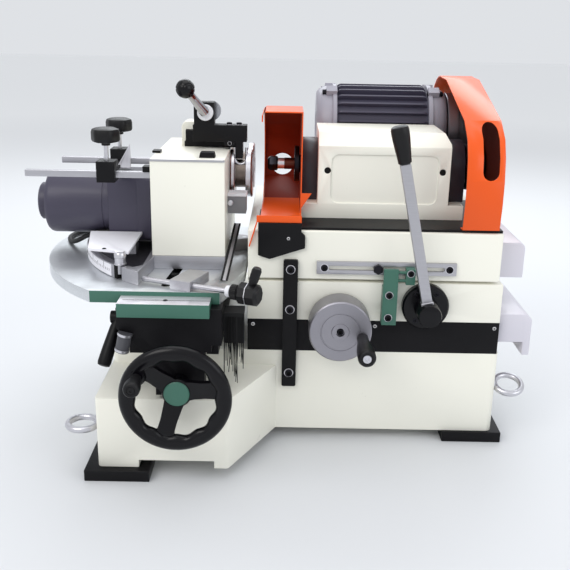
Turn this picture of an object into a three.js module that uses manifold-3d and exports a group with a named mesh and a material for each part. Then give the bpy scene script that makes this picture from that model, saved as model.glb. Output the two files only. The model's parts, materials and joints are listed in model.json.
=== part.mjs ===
// A bench cylindrical grinder with a swivelling work head at the left and a wheel spindle at the right.
// Millimetres. X runs to the right, Y to the back and Z up. The base's main front face is at Y = 0,
// and X = 0 is the plane from which the machine's left and right places are measured.

import * as THREE from 'three';
import { mergeVertices } from 'three/addons/utils/BufferGeometryUtils.js';
import Module from 'manifold-3d';

const wasm = await Module();
wasm.setup();

// Clearances shared by every fit, and how far a cutting solid runs past the face it cuts
const gap = 0.3;
const overrun = 3;

// Top outline of the two slides on the wheel side, which the beds and the base under them follow
const slideTop = { left: -59, width: 397, depth: 360 };
slideTop.right = slideTop.left + slideTop.width;
const bed = { left: slideTop.left, overhang: 7, shoulder: 4, depth: 400, height: 53, band: 12 };
bed.right = slideTop.right + bed.overhang;

// Base casting, its forward knee under the work side, feet and lifting eyes
const foot = { side: 98, height: 18, outset: 19, frontInset: 6, frontSetback: 13, setback: 15 };
const base = { left: -278, right: bed.right + bed.shoulder, depth: 430, height: 139, corner: 10 };
base.bottom = foot.height;
base.top = base.bottom + base.height;
const knee = { reach: 137, width: 197, height: 113, flare: 69, edge: 6 };
knee.right = base.left + knee.width;
knee.top = base.bottom + knee.height;
const footNotch = { left: 62, width: 114, height: 12, depth: 60 };
const eye = { ring: 22, wire: 5, shank: 5.5, depth: 22, collar: 9, collarWidth: 4, tilt: 20 };
eye.leftBack = 27;
eye.leftHeight = 58;
eye.rightBack = 22;
eye.rightHeight = 76;

// Cross bed, and the middle slide that runs front to back on it
bed.top = base.top + bed.height;
const tongue = { left: 169, width: 160, neck: 136, height: 22 };
const middle = { depth: 379.5, height: 63.7, frontGap: 0.5 };
middle.bottom = bed.top + gap;
middle.top = middle.bottom + middle.height;
const way = { front: 124.5, width: 120, neck: 96, height: 25.5, length: slideTop.width };
const upper = { width: slideTop.width, lift: 5, height: 77 };
upper.left = slideTop.left;
upper.right = upper.left + upper.width;
upper.bottom = middle.top + upper.lift;
upper.top = upper.bottom + upper.height;

// Cross feed: screw, nut, drum handwheel and its revolving handle
const feed = { across: 146, drop: 2.3, radius: 7, length: 300, travel: 60, nutBack: 150, nutLength: 30, wall: 4.5 };
feed.x = bed.left + feed.across;
feed.z = middle.bottom - feed.drop;
const drum = { radius: 49, depth: 46, standoff: 2.2, rim: 5, ring: 30, hub: 12, recess: 4, seat: 28 };
const crossCrank = { reach: 36, angle: -15, length: 84, root: 9, end: 13.5, pin: 5, stub: 12 };

// Transport strap, and the stop bracket, slot bar and stroke stop on the front of the slides
const strap = { left: -3, width: 23, thickness: 8, bottom: 97, top: 311, seat: 8 };
const bracket = { left: 153, width: 23, foot: 14, plate: 6, rise: 30, headroom: 2 };
const bar = { left: 49, width: 219, height: 20, thickness: 6, rise: 10, slotHeight: 7, slotInset: 22 };
bar.bottom = upper.bottom + bar.rise;
const stopNut = { radius: 8, length: 7, fromBar: 96 };
const stroke = { width: 14, height: 25, depth: 14.5, gapToBar: 0.3, drop: 11.5, bit: 2.5, spread: 13, travel: 45 };
stroke.bitLength = 11.4;
stroke.left = bracket.left + bracket.width + stroke.bitLength + gap;

// Hand lever with the pinion that drives the rack under the upper slide
const lever = { x: 222.5, pitch: 34, module: 4, disc: 37, discDepth: 13.7, boss: 18, bossDepth: 46, lean: 12.3 };
lever.rackLift = 1;
lever.z = middle.top - lever.rackLift - lever.pitch;
lever.shaft = 9;
lever.bar = 16;
lever.barDepth = 12;
lever.barLength = 236;
lever.barBack = 34;
lever.gripLength = 56;
lever.gripRoot = 10;
lever.gripEnd = 13.5;
const gear = { face: 20, back: 25, tooth: 2.4, toothShare: 0.36, tipShare: 0.24, rackTeeth: 6 };
gear.pitch = Math.PI * lever.module;
gear.teeth = Math.round(2 * Math.PI * lever.pitch / gear.pitch);

// Wheel spindle, its housing, covers and guard
const axis = { y: 150, rise: 80 };
axis.z = upper.top + axis.rise;
const plate = { left: 20, right: 338, front: 8, depth: 232, height: 4 };
plate.top = upper.top + plate.height;
const housing = { left: 50, width: 212, front: 75, depth: 133, height: 138, chamfer: 21, bore: 24 };
housing.right = housing.left + housing.width;
housing.top = upper.top + plate.height + housing.height;
housing.flangeWidth = 263;
housing.flangeHeight = 24;
const panel = { left: 21, width: 172, bottom: 29, height: 79, depth: 2.5, corner: 12 };
const port = { inset: 13, radius: 5.3, depth: 9, rise: 2 };
const cover = { radius: 45, left: 26, right: 30, bore: 15.3 };
const spindle = { radius: 15, nose: 9, nutRadius: 13, nutWidth: 14, flange: 30, flangeWidth: 8, tail: 12 };
spindle.noseEnd = -30;
spindle.flangeLeft = 12;
const guard = { left: -41, width: 65, sheet: 2, front: 60, top: 95, back: 95, lip: 60, flange: 8, window: 19 };
guard.lift = 9;
guard.shoulder = 80;
guard.mouth = -28;
guard.tab = 4.7;
guard.hole = 34;
guard.cut = 10;
guard.lipRise = 11;
guard.strip = { drop: 38, lean: 12, depth: 6 };
guard.flap = { width: 16, height: 24, rise: 10 };
const guardBracket = { left: -43, right: 24, thickness: 6, depth: 95, edge: 19.7 };

// Spindle drive: pulleys, belt, motor and belt guard
const motor = { y: 292, rise: 128, left: 83, width: 167, fin: 75, core: 68, finWidth: 4.4, finCount: 30 };
motor.z = upper.top + motor.rise;
motor.bellLeft = 32;
motor.bellRight = 31;
motor.bell = 70;
motor.foot = { front: 240, depth: 105, inset: 17 };
const spindlePulley = { left: 296, width: 30, radius: 38 };
const motorPulley = { left: 283, width: 42, radius: 62, hub: 24, dish: 10 };
const belt = { centre: 310.5, width: 18, thickness: 5, sideGap: 1 };
const beltGuard = { left: 273.5, width: 57.5, sheet: 2, front: 5, foot: 15, back: 90, hang: 20 };
beltGuard.crown = 100;
beltGuard.bends = [[-4, 40], [-3, 75], [4, 110], [18, 136], [52, 160], [143, 186], [229, 210]];
beltGuard.slot = { inset: 24, width: 25, bottom: 83, height: 83 };

// Sheet covers on the right ends of the two slides
const upperCover = { width: 46.7, front: 40, depth: 190, bottom: -4, height: 58, corner: 10 };
const lowerCover = { width: 54.7, front: 10, depth: 170, bottom: 17, height: 48, corner: 14, tongue: 12, drop: 22 };

// Work bed, saddle and its feed
const workBed = { left: -205, width: 100, depth: 400, height: 53, neck: 76, wayHeight: 22 };
workBed.right = workBed.left + workBed.width;
workBed.top = base.top + workBed.height;
const saddle = { left: -241, right: -90, front: -135, back: 250, top: 62, lip: 35, apron: 20.7, skirt: 11 };
saddle.z = workBed.top + saddle.top;
saddle.drop = 4;
const workFeed = { x: -151, rise: 1.7, radius: 7, back: 110, nutFront: 60, nutLength: 30, bore: 9, boreDepth: 210 };
workFeed.z = base.top + workFeed.rise;
const hanger = { width: 72, depth: 25, bottom: 21 };
const ledge = { left: -237, width: 131, front: -149, back: -112, thickness: 11.5, lip: 9 };
const wheel = { radius: 80, rim: 12, depth: 18, front: -199, hub: 22, hubDepth: 12, spoke: 13, boss: 14 };
wheel.hubFront = -175;
wheel.spokeDepth = 10;
wheel.spokes = 3;
wheel.first = 254;
const workCrank = { reach: 62, angle: 147, length: 41, root: 8, end: 11.5, pin: 4.5, stub: 9 };
const clamp = { y: -95, z: 244, stub: 4, stubRadius: 8, hub: 9.5, hubWidth: 11, rod: 5, grip: 10, gripLength: 52 };
clamp.reach = { x: -18, y: -38, z: -63 };

// Swivel of the work head: the sector plate on the saddle and the plate that turns on it
const pivot = { x: -72, y: 134, radius: 5 };
const sector = { thickness: 18, radius: 324, front: -112, right: -94, back: 291, edge: -63, side: 4 };
sector.top = saddle.z + sector.thickness;
const arcSlot = { x: -176, front: -80, length: 92, lean: 8, width: 14, depth: 8, bolt: 6.2, boltY: -22 };
const swivel = { thickness: 20.7, radius: 262, wall: 13, recess: 11, from: 165, to: 236.6, front: 3, right: -95 };
swivel.recessFrom = 182;
swivel.recessTo = 231;
swivel.bottom = sector.top + gap;
swivel.top = swivel.bottom + swivel.thickness;
swivel.block = { x: -206, y: 3 };
swivel.bolt = { reach: 253, angle: 225.5, radius: 7.5, rise: 21, slot: 12, slotAngle: 227.5 };
swivel.shelf = { left: -302, width: 65, front: -44, depth: 123.5, lift: 15, thickness: 4, leg: 30, inset: 6 };
swivel.shelf.skew = 17;
swivel.shelf.flare = 20;
const screwBlock = { width: 33, depth: 60, height: 15, forward: 10, along: 60 };
const angleScrew = { x: -212, y: -71.4, rise: 7, angle: -21.9, radius: 4, length: 141, collar: 8, collarWidth: 5 };
angleScrew.neck = { radius: 11, width: 12 };
angleScrew.body = { radius: 17, width: 32, chamfer: 3 };
angleScrew.pin = { radius: 5.5, length: 26, along: 18 };
const curtain = { width: 30, front: -100, depth: 34, top: 255, bottom: 137, strips: 5, slit: 2, rail: 17 };

// Work head: housing, drive, rollers, hold-down and end stop
const head = { left: -209, width: 114, front: 5, depth: 245, height: 151.5, corner: 3 };
head.right = head.left + head.width;
head.bottom = swivel.top;
head.top = head.bottom + head.height;
const drive = { y: 134, rise: 57, box: 104, boxWidth: 48, flange: 108, flangeWidth: 35, can: 52, canLength: 107 };
drive.z = head.bottom + drive.rise;
drive.cap = 31;
drive.capLength = 16;
drive.edge = 8;
const roller = { y: 134, rise: 110, radius: 39, core: 23, left: 8.4, groove: 18, right: 11, shaft: 8, depth: 50 };
roller.z = head.bottom + roller.rise;
roller.pitch = 80;
const rest = { width: 30, front: 60, depth: 32, bottom: 57, height: 31 };
const rail = { front: 20, rear: 150, side: 10, rise: 125, frontLength: 194, rearLength: 171, depth: 20 };
const stop = { left: -291, width: 28, depth: 30, height: 32, drop: 6, rearShift: 5, plate: 5, plateInset: 5 };
stop.fin = { y: 78, thickness: 3, foot: 23, height: 39 };
const knob = { radius: 22, height: 22, stem: 3.5, stemLength: 28, neck: 6, neckHeight: 5, into: 14 };
const post = { left: -178, width: 28, front: 152, depth: 38, height: 40.5, corner: 10 };
post.plate = { left: -170, width: 32, depth: 12, height: 27.5 };
const arm = { left: -155, width: 88, front: 115, depth: 24.7, bottom: 12.5, height: 27, nose: 12, noseDrop: 27 };
arm.noseInset = 6.5;
arm.pivot = { x: -148, rise: 18.5, radius: 5, depth: 10 };
arm.ear = { left: -153, width: 33, height: 36 };
const cam = { x: -134, rise: 20, flange: 13, flangeDepth: 6, shaft: 6, disc: 16, discDepth: 9, offset: 7 };
cam.ball = { x: -27, y: -34, z: 40, radius: 15 };
cam.rod = 7.5;

// Lead of the work head's motor: its diameter, and the route that it lies in over the plates
const lead = { diameter: 8, sides: 8 };
const leadRoute = [
  [-292.3, 92, 324], [-306, 92, 324], [-320, 95, 321], [-335, 102, 315.5], [-350, 113, 306], [-364, 130, 298],
  [-375, 150, 294.6], [-381, 172, 294.4], [-379, 194, 294.4], [-369, 214, 294.4], [-352, 229, 294.4],
  [-332, 238, 294.4], [-312, 241, 295], [-294, 241, 299], [-277, 241, 307], [-262, 241, 316], [-248, 241, 324],
  [-234, 241, 329], [-222, 241, 330], [-209.3, 241, 330],
];

// Finishes
function finish(color, roughness, metalness = 0) {
  return new THREE.MeshStandardMaterial({ color, roughness, metalness });
}
const paint = {
  cream: [0xe9e5d6, 0.4], orange: [0xe4501c, 0.4], green: [0x4f7f6b, 0.5], motor: [0x4b4757, 0.45],
  black: [0x1d1c21, 0.45], cast: [0x242327, 0.6], rubber: [0x171717, 0.8], grey: [0xc9c7cb, 0.45],
  steel: [0xb9b9bf, 0.35, 0.9], aluminium: [0xb7b6b9, 0.4, 0.9], light: [0x8a8692, 0.45],
};

// Solids from three.js geometries: a closed, merged mesh with its faces pointing out
function solid(geometry) {
  geometry.deleteAttribute('normal');
  geometry.deleteAttribute('uv');
  const merged = mergeVertices(geometry, 1e-4);
  const places = merged.getAttribute('position');
  const triVerts = new Uint32Array(merged.index.array);
  if (signedVolume(places, triVerts) < 0) triVerts.reverse();
  const vertProperties = new Float32Array(places.array);
  return new wasm.Manifold(new wasm.Mesh({ numProp: 3, vertProperties, triVerts }));
}

function signedVolume(places, corners) {
  const [a, b, c] = [new THREE.Vector3(), new THREE.Vector3(), new THREE.Vector3()];
  let volume = 0;
  for (let i = 0; i < corners.length; i += 3) {
    a.fromBufferAttribute(places, corners[i]);
    b.fromBufferAttribute(places, corners[i + 1]);
    c.fromBufferAttribute(places, corners[i + 2]);
    volume += a.dot(b.cross(c));
  }
  return volume;
}

const join = (...solids) => solids.reduce((whole, next) => whole.add(next));
const cut = (whole, ...tools) => tools.reduce((left, tool) => left.subtract(tool), whole);

// A box between two places on each axis
function block([left, right], [front, back], [bottom, top]) {
  const box = new THREE.BoxGeometry(right - left, back - front, top - bottom);
  box.translate((left + right) / 2, (front + back) / 2, (bottom + top) / 2);
  return solid(box);
}

// Turns a solid made along Z so that it runs along another axis, in the order of that axis's outline
const turns = {
  x: new THREE.Matrix4().set(0, 0, 1, 0, 1, 0, 0, 0, 0, 1, 0, 0, 0, 0, 0, 1),
  y: new THREE.Matrix4().set(1, 0, 0, 0, 0, 0, 1, 0, 0, 1, 0, 0, 0, 0, 0, 1),
  z: new THREE.Matrix4(),
};

// An outline drawn across an axis, as (Y, Z) for x, (X, Z) for y and (X, Y) for z, and drawn out along it
function prism(outline, along, from, to) {
  const shape = new THREE.Shape(outline.map(([a, b]) => new THREE.Vector2(a, b)));
  const bulk = new THREE.ExtrudeGeometry(shape, { depth: to - from, bevelEnabled: false });
  bulk.translate(0, 0, from);
  bulk.applyMatrix4(turns[along]);
  return solid(bulk);
}

// A turned piece about an axis through a centre, from (radius, distance along the axis) points
function turned(profile, along, centre, sides = 24) {
  const points = [[0, profile[0][1]], ...profile, [0, profile.at(-1)[1]]];
  const lathe = new THREE.LatheGeometry(points.map(([r, t]) => new THREE.Vector2(r, t)), sides);
  lathe.rotateX(Math.PI / 2);
  lathe.applyMatrix4(turns[along]);
  lathe.translate(...centre);
  return solid(dropSlivers(lathe));
}

// Leaves out the triangles that a turned profile closes to nothing on its axis
function dropSlivers(geometry) {
  const tidy = mergeVertices(withPlacesOnly(geometry), 1e-4);
  const corners = [];
  const old = tidy.index.array;
  for (let i = 0; i < old.length; i += 3) {
    const [a, b, c] = [old[i], old[i + 1], old[i + 2]];
    if (a !== b && b !== c && c !== a) corners.push(a, b, c);
  }
  tidy.setIndex(corners);
  return tidy;
}

function withPlacesOnly(geometry) {
  geometry.deleteAttribute('normal');
  geometry.deleteAttribute('uv');
  return geometry;
}

// A plain rod along an axis, through a centre, between two places on that axis
function rod(along, centre, radius, from, to, sides = 24) {
  const index = 'xyz'.indexOf(along);
  const start = centre.map((value, i) => (i === index ? 0 : value));
  return turned([[radius, from], [radius, to]], along, start, sides);
}

// A rod between any two points
function strut(start, end, radius, sides = 16) {
  const [a, b] = [new THREE.Vector3(...start), new THREE.Vector3(...end)];
  const line = b.clone().sub(a);
  const bulk = new THREE.CylinderGeometry(radius, radius, line.length(), sides);
  bulk.translate(0, line.length() / 2, 0);
  bulk.applyQuaternion(new THREE.Quaternion().setFromUnitVectors(new THREE.Vector3(0, 1, 0), line.normalize()));
  bulk.translate(...start);
  return solid(bulk);
}

function ball([x, y, z], radius) {
  const bulk = new THREE.SphereGeometry(radius, 16, 10);
  bulk.translate(x, y, z);
  return solid(dropSlivers(bulk));
}

// Points of an arc about a centre, in degrees
function arc(cx, cy, radius, from, to, steps) {
  return Array.from({ length: steps + 1 }, (_, i) => {
    const angle = THREE.MathUtils.degToRad(from + (to - from) * i / steps);
    return [cx + radius * Math.cos(angle), cy + radius * Math.sin(angle)];
  });
}

// An outline whose corners are rounded, each by its own radius
function softened(outline, radii, steps = 4) {
  return outline.flatMap((corner, i) => {
    const radius = Array.isArray(radii) ? radii[i] : radii;
    if (!radius) return [corner];
    const here = new THREE.Vector2(...corner);
    const before = new THREE.Vector2(...outline.at(i - 1)).sub(here).normalize();
    const after = new THREE.Vector2(...outline[(i + 1) % outline.length]).sub(here).normalize();
    const half = Math.acos(THREE.MathUtils.clamp(before.dot(after), -1, 1)) / 2;
    const centre = here.clone().add(before.clone().add(after).normalize().multiplyScalar(radius / Math.sin(half)));
    const first = here.clone().addScaledVector(before, radius / Math.tan(half)).sub(centre);
    const last = here.clone().addScaledVector(after, radius / Math.tan(half)).sub(centre);
    const sweep = Math.atan2(first.cross(last), first.dot(last));
    return Array.from({ length: steps + 1 }, (_, step) => {
      const spoke = first.clone().rotateAround(new THREE.Vector2(), sweep * step / steps).add(centre);
      return [spoke.x, spoke.y];
    });
  });
}

const rectangle = (a0, a1, b0, b1) => [[a0, b0], [a1, b0], [a1, b1], [a0, b1]];

// A capsule outline between two centres on one line parallel to the second outline axis
const capsule = (a, b0, b1, radius) => [...arc(a, b1, radius, 0, 180, 8), ...arc(a, b0, radius, 180, 360, 8)];

// A strip of sheet: a line drawn out sideways by the sheet's thickness
function strip(line, thickness) {
  const side = line.map(([a, b], i) => {
    const before = line[Math.max(i - 1, 0)];
    const after = line[Math.min(i + 1, line.length - 1)];
    const across = new THREE.Vector2(after[1] - before[1], before[0] - after[0]).setLength(thickness);
    return [a + across.x, b + across.y];
  });
  return [...line, ...side.reverse()];
}

// The outline of a belt round two wheels
function loop(a, radiusA, b, radiusB, steps = 20) {
  const line = Math.atan2(b[1] - a[1], b[0] - a[0]);
  const spread = Math.acos((radiusA - radiusB) / Math.hypot(b[0] - a[0], b[1] - a[1]));
  const [low, high] = [line - spread, line + spread].map(THREE.MathUtils.radToDeg);
  return [
    ...arc(a[0], a[1], radiusA, high, low + 360, steps),
    ...arc(b[0], b[1], radiusB, low, high, steps),
  ];
}

const radians = THREE.MathUtils.degToRad;
const onCircle = (reach, angle) => [reach * Math.cos(radians(angle)), reach * Math.sin(radians(angle))];

// Fixed pieces: base, feet, eyes and beds
function baseCasting() {
  const body = softened(rectangle(base.left, base.right, 0, base.depth), base.corner);
  const kneeOutline = softened([
    [base.left, -knee.reach], [knee.right, -knee.reach], [knee.right + knee.flare, 0],
    [knee.right + knee.flare, base.corner + overrun], [base.left, base.corner + overrun],
  ], [knee.edge, knee.edge, 0, 0, 0]);
  const bulk = join(
    prism(body, 'z', base.bottom, base.top),
    prism(kneeOutline, 'z', base.bottom, knee.top),
  );
  const notchLeft = base.left + footNotch.left;
  return cut(
    bulk,
    block([notchLeft, notchLeft + footNotch.width], [-knee.reach - overrun, -knee.reach + footNotch.depth],
      [base.bottom - overrun, base.bottom + footNotch.height]),
    rod('y', [workFeed.x, 0, workFeed.z], workFeed.bore, -overrun, workFeed.boreDepth),
    rod('x', [0, leftEye[1], leftEye[2]], eye.shank + gap, base.left - overrun, base.left + eye.depth),
    rod('x', [0, rightEye[1], rightEye[2]], eye.shank + gap, base.right - eye.depth, base.right + overrun),
  );
}

const leftEye = [base.left, -knee.reach + eye.leftBack, base.bottom + eye.leftHeight];
const rightEye = [base.right, eye.rightBack, base.bottom + eye.rightHeight];

// One lifting eye whose shank goes into a face that looks along X
function liftingEye([x, y, z], outward, tilt) {
  const ring = new THREE.TorusGeometry(eye.ring, eye.wire, 6, 20);
  ring.rotateX(radians(tilt));
  const middleOfRing = eye.collarWidth + eye.ring;
  ring.translate(x + outward * middleOfRing, y, z);
  const [into, collarEnd] = [x - outward * (eye.depth - gap), x + outward * eye.collarWidth];
  const [start, end] = [x + outward * gap, collarEnd];
  return join(
    solid(ring),
    rod('x', [0, y, z], eye.collar, Math.min(start, end), Math.max(start, end), 16),
    rod('x', [0, y, z], eye.shank, Math.min(into, collarEnd), Math.max(into, collarEnd), 12),
  );
}

function footPad(left, front) {
  return block([left, left + foot.side], [front, front + foot.side], [0, foot.height]);
}

function crossBed() {
  const floor = bed.top - tongue.height - gap;
  const neck = { left: bed.left + tongue.left, right: bed.left + tongue.left + tongue.width };
  const channel = dovetail(neck.left, neck.right, tongue.neck, floor, bed.top, bed.top + overrun, 2 * gap);
  const grooveSide = feed.radius + feed.wall + gap;
  const groove = { left: feed.x - grooveSide, right: feed.x + grooveSide, bottom: feed.z - feed.radius - feed.wall };
  const bulk = cut(
    block([bed.left, bed.right], [0, bed.depth], [base.top, bed.top]),
    prism(channel, 'y', bed.band, bed.depth + overrun),
    block([groove.left, groove.right], [-overrun, bed.depth + overrun], [groove.bottom - gap, bed.top + overrun]),
  );
  const nut = block([groove.left - overrun, groove.right + overrun], [feed.nutBack, feed.nutBack + feed.nutLength],
    [groove.bottom - overrun, middle.bottom + feed.wall]);
  const trimmed = cut(nut, block([groove.left - 2 * overrun, groove.left + gap], [0, bed.depth],
    [bed.top - gap, middle.top]), block([groove.right - gap, groove.right + 2 * overrun], [0, bed.depth],
    [bed.top - gap, middle.top]));
  const pinionPath = rod('y', [lever.x, 0, lever.z], lever.pitch + gear.tooth + gap, -overrun,
    gear.back + gear.face + 2 * gap, 40);
  return cut(join(bulk, trimmed), feedBore(), pinionPath);
}

// The bore that the cross feed screw runs in
function feedBore() {
  return rod('y', [feed.x, 0, feed.z], feed.radius + gap, -drum.depth, bed.depth);
}

// A dovetail's section: widest at one level, narrowest at the next, then straight on to its end
function dovetail(left, right, neck, wideAt, neckAt, end, spare) {
  const inset = (right - left - neck) / 2;
  return [
    [left - spare, wideAt], [right + spare, wideAt], [right - inset + spare, neckAt], [right - inset + spare, end],
    [left + inset - spare, end], [left + inset - spare, neckAt],
  ];
}

function transportStrap() {
  const sides = rectangle(strap.left, strap.left + strap.width, strap.bottom, strap.top);
  const outline = softened(sides, strap.width / 8, 3);
  const seatZ = (middle.bottom + middle.top) / 2;
  return join(
    prism(outline, 'y', -strap.thickness - gap, -gap),
    rod('y', [strap.left + strap.width / 2, 0, seatZ], strap.seat, -strap.thickness / 2, middle.frontGap, 16),
  );
}

function workBedCasting() {
  const wayBottom = workBed.top - workBed.wayHeight;
  const tail = dovetail(workBed.left, workBed.right, workBed.neck, workBed.top, wayBottom, wayBottom - overrun, 0);
  const bulk = join(
    block([workBed.left, workBed.right], [0, workBed.depth], [base.top, wayBottom]),
    prism(tail, 'y', 0, workBed.depth),
  );
  const nutEnd = workFeed.nutFront + workFeed.nutLength;
  return cut(
    bulk,
    rod('y', [workFeed.x, 0, workFeed.z], workFeed.bore, -overrun, workFeed.nutFront),
    rod('y', [workFeed.x, 0, workFeed.z], workFeed.radius + gap, 0, workFeed.boreDepth),
    rod('y', [workFeed.x, 0, workFeed.z], workFeed.bore, nutEnd, workFeed.boreDepth),
  );
}

// Cross slide: the middle casting, its strap, stop bracket and end cover
function middleSlide() {
  const [left, right] = [bed.left, bed.right];
  const front = middle.frontGap;
  const back = front + middle.depth;
  const tongueLeft = left + tongue.left;
  const tail = dovetail(tongueLeft, tongueLeft + tongue.width, tongue.neck, bed.top - tongue.height, bed.top,
    middle.bottom + overrun, 0);
  const ridge = dovetail(way.front, way.front + way.width, way.neck, middle.top + way.height, middle.top,
    middle.top - overrun, 0);
  const bossSide = feed.radius + feed.wall;
  const bulk = join(
    block([left, right], [front, back], [middle.bottom, middle.top]),
    prism(tail, 'y', bed.band + gap + feed.travel, back),
    prism(ridge, 'x', left, left + way.length),
    block([feed.x - bossSide, feed.x + bossSide], [front, bed.band], [feed.z - bossSide, middle.bottom + overrun]),
  );
  const nutRoom = bossSide + 2 * gap;
  const pocket = lever.pitch + gear.tooth + overrun;
  return cut(
    bulk,
    feedBore(),
    block([feed.x - nutRoom, feed.x + nutRoom], [bed.band, back + overrun],
      [middle.bottom - overrun, middle.bottom + feed.wall + 2 * gap]),
    rod('y', [lever.x, 0, lever.z], pocket, gear.back - gap, gear.back + gear.face + 2 * gap, 40),
    rod('y', [lever.x, 0, lever.z], lever.shaft + gap, front - overrun, gear.back + overrun),
    block([lever.x - rackReach - stroke.travel, lever.x + rackReach + stroke.travel],
      [gear.back - gap, gear.back + gear.face + 2 * gap], [rackPitchLine - 2 * gear.tooth, middle.top + overrun]),
  );
}

const rackPitchLine = lever.z + lever.pitch;
const rackReach = gear.pitch * (gear.rackTeeth / 2);

function stopBracket() {
  const [left, right] = [bracket.left, bracket.left + bracket.width];
  const face = middle.frontGap - gap;
  const rise = middle.top - bracket.headroom;
  return join(
    block([left, right], [face - bracket.foot, face], [middle.bottom + gap, rise]),
    block([left, right], [face - bracket.foot - bracket.plate, face - bracket.foot], [middle.bottom + gap,
      rise + bracket.rise]),
  );
}

function endCover(size, left, bottom) {
  const [right, top] = [left + size.width, bottom + size.height];
  const outline = softened(rectangle(left, right, bottom, top), [0, 0, size.corner, 0]);
  return prism(outline, 'y', size.front, size.front + size.depth);
}

function lowerRightCover() {
  const left = bed.right + gap;
  const bottom = base.top + lowerCover.bottom;
  const right = left + lowerCover.width;
  return join(
    endCover(lowerCover, left, bottom),
    block([right - lowerCover.tongue, right], [lowerCover.front, lowerCover.front + lowerCover.depth],
      [bottom - lowerCover.drop, bottom + overrun]),
  );
}

// Cross feed: the screw, the drum wheel made about its own axis, and the handle that turns on it
function crossLeadscrew() {
  const start = -drum.standoff - drum.seat;
  return turned([[feed.radius, start], [feed.radius, start + feed.length]], 'y', [0, 0, 0], 20);
}

function crossWheel() {
  const [front, back] = [-drum.standoff - drum.depth, -drum.standoff];
  const floor = front + drum.recess;
  const body = turned([
    [drum.hub, front], [drum.hub, floor], [drum.ring - drum.rim / 2, floor], [drum.ring - drum.rim / 2, front],
    [drum.ring, front], [drum.ring, floor], [drum.radius - drum.rim, floor], [drum.radius - drum.rim, front],
    [drum.radius, front], [drum.radius, back],
  ], 'y', [0, 0, 0], 32);
  const [x, z] = onCircle(crossCrank.reach, crossCrank.angle);
  return cut(
    body,
    rod('y', [0, 0, 0], feed.radius + gap, -drum.standoff - drum.seat - gap, overrun),
    rod('y', [x, 0, z], crossCrank.pin + gap, front - overrun, front + crossCrank.stub + gap, 14),
  );
}

// A revolving handle on its pin, along Y from a wheel's face towards the front
function crankHandle(size, face) {
  const root = face - gap;
  const end = root - size.length;
  const profile = [
    [size.end * 0.7, end], [size.end, end + size.end * 0.3], [size.end, end + size.length * 0.3],
    [size.root, root - size.length * 0.2], [size.root * 0.85, root - size.length * 0.08], [size.root, root],
    [size.pin, root], [size.pin, face + size.stub],
  ];
  return turned(profile, 'y', [0, 0, 0], 16);
}

// Upper slide with the rack teeth hanging from it
function upperSlide() {
  const front = middle.frontGap;
  const channel = dovetail(way.front, way.front + way.width, way.neck, middle.top + way.height + gap, middle.top,
    middle.top - overrun, 2 * gap);
  const [back, top] = [gear.back + gap, upper.bottom + overrun];
  const bulk = cut(
    block([upper.left, upper.right], [front, slideTop.depth], [upper.bottom, upper.top]),
    prism(channel, 'x', upper.left - overrun, upper.right + overrun),
  );
  const rackTop = rackPitchLine + gear.tooth;
  const rack = block([lever.x - rackReach, lever.x + rackReach], [back, back + gear.face - 2 * gap], [rackTop, top]);
  const teeth = Array.from({ length: gear.rackTeeth }, (_, i) => {
    const centre = lever.x + gear.pitch * (i + 0.5 - gear.rackTeeth / 2);
    const [rootHalf, tipHalf] = [gear.toothShare * gear.pitch / 2, gear.tipShare * gear.pitch / 2];
    const outline = [
      [centre - rootHalf, rackTop + gap], [centre + rootHalf, rackTop + gap],
      [centre + tipHalf, rackPitchLine - gear.tooth], [centre - tipHalf, rackPitchLine - gear.tooth],
    ];
    return prism(outline, 'y', back, back + gear.face - 2 * gap);
  });
  return join(bulk, rack, ...teeth);
}

// Pinion outline about its own axis, with a tooth straight up
function pinionOutline() {
  const root = lever.pitch - gear.tooth;
  const tip = lever.pitch + gear.tooth;
  const step = 360 / gear.teeth;
  return Array.from({ length: gear.teeth }, (_, i) => 90 + i * step).flatMap((angle) => [
    onCircle(root, angle - step * gear.toothShare / 2), onCircle(tip, angle - step * gear.tipShare / 2),
    onCircle(tip, angle + step * gear.tipShare / 2), onCircle(root, angle + step * gear.toothShare / 2),
  ]);
}

function leverHub() {
  const front = middle.frontGap - 2 * gap;
  const face = front - lever.discDepth;
  const hub = turned([
    [lever.boss * 0.8, face - lever.bossDepth], [lever.boss, face - lever.bossDepth + lever.boss * 0.2],
    [lever.boss, face], [lever.disc * 0.94, face], [lever.disc, face + lever.disc * 0.06], [lever.disc, front],
    [lever.shaft, front], [lever.shaft, gear.back + gear.face / 2],
  ], 'y', [0, 0, 0], 28);
  const pinion = prism(pinionOutline(), 'y', gear.back + gap, gear.back + gear.face);
  const seat = block([-lever.bar / 2 - gap, lever.bar / 2 + gap], [-lever.barBack - lever.barDepth - gap,
    -lever.barBack + gap], [-lever.boss * 0.4, lever.boss + overrun]);
  return cut(join(hub, pinion), leaned(seat));
}

// Leans a piece of the hand lever to the left about the lever's axis
function leaned(piece) {
  return piece.rotate([0, -lever.lean, 0]);
}

function leverBar() {
  const [front, back] = [-lever.barBack - lever.barDepth, -lever.barBack];
  return leaned(block([-lever.bar / 2, lever.bar / 2], [front, back], [-lever.boss * 0.4 + gap, lever.barLength]));
}

function leverGrip() {
  const centre = -lever.barBack - lever.barDepth / 2;
  const [low, high] = [lever.barLength + gap, lever.barLength + gap + lever.gripLength];
  const grip = turned([
    [lever.gripRoot * 0.8, low], [lever.gripRoot, low + lever.gripRoot * 0.2],
    [lever.gripEnd, high - lever.gripEnd], [lever.gripEnd * 0.87, high - lever.gripEnd * 0.5],
    [lever.gripEnd * 0.5, high - lever.gripEnd * 0.14], [lever.gripEnd * 0.1, high],
  ], 'z', [0, centre, 0], 20);
  return leaned(grip);
}

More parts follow.
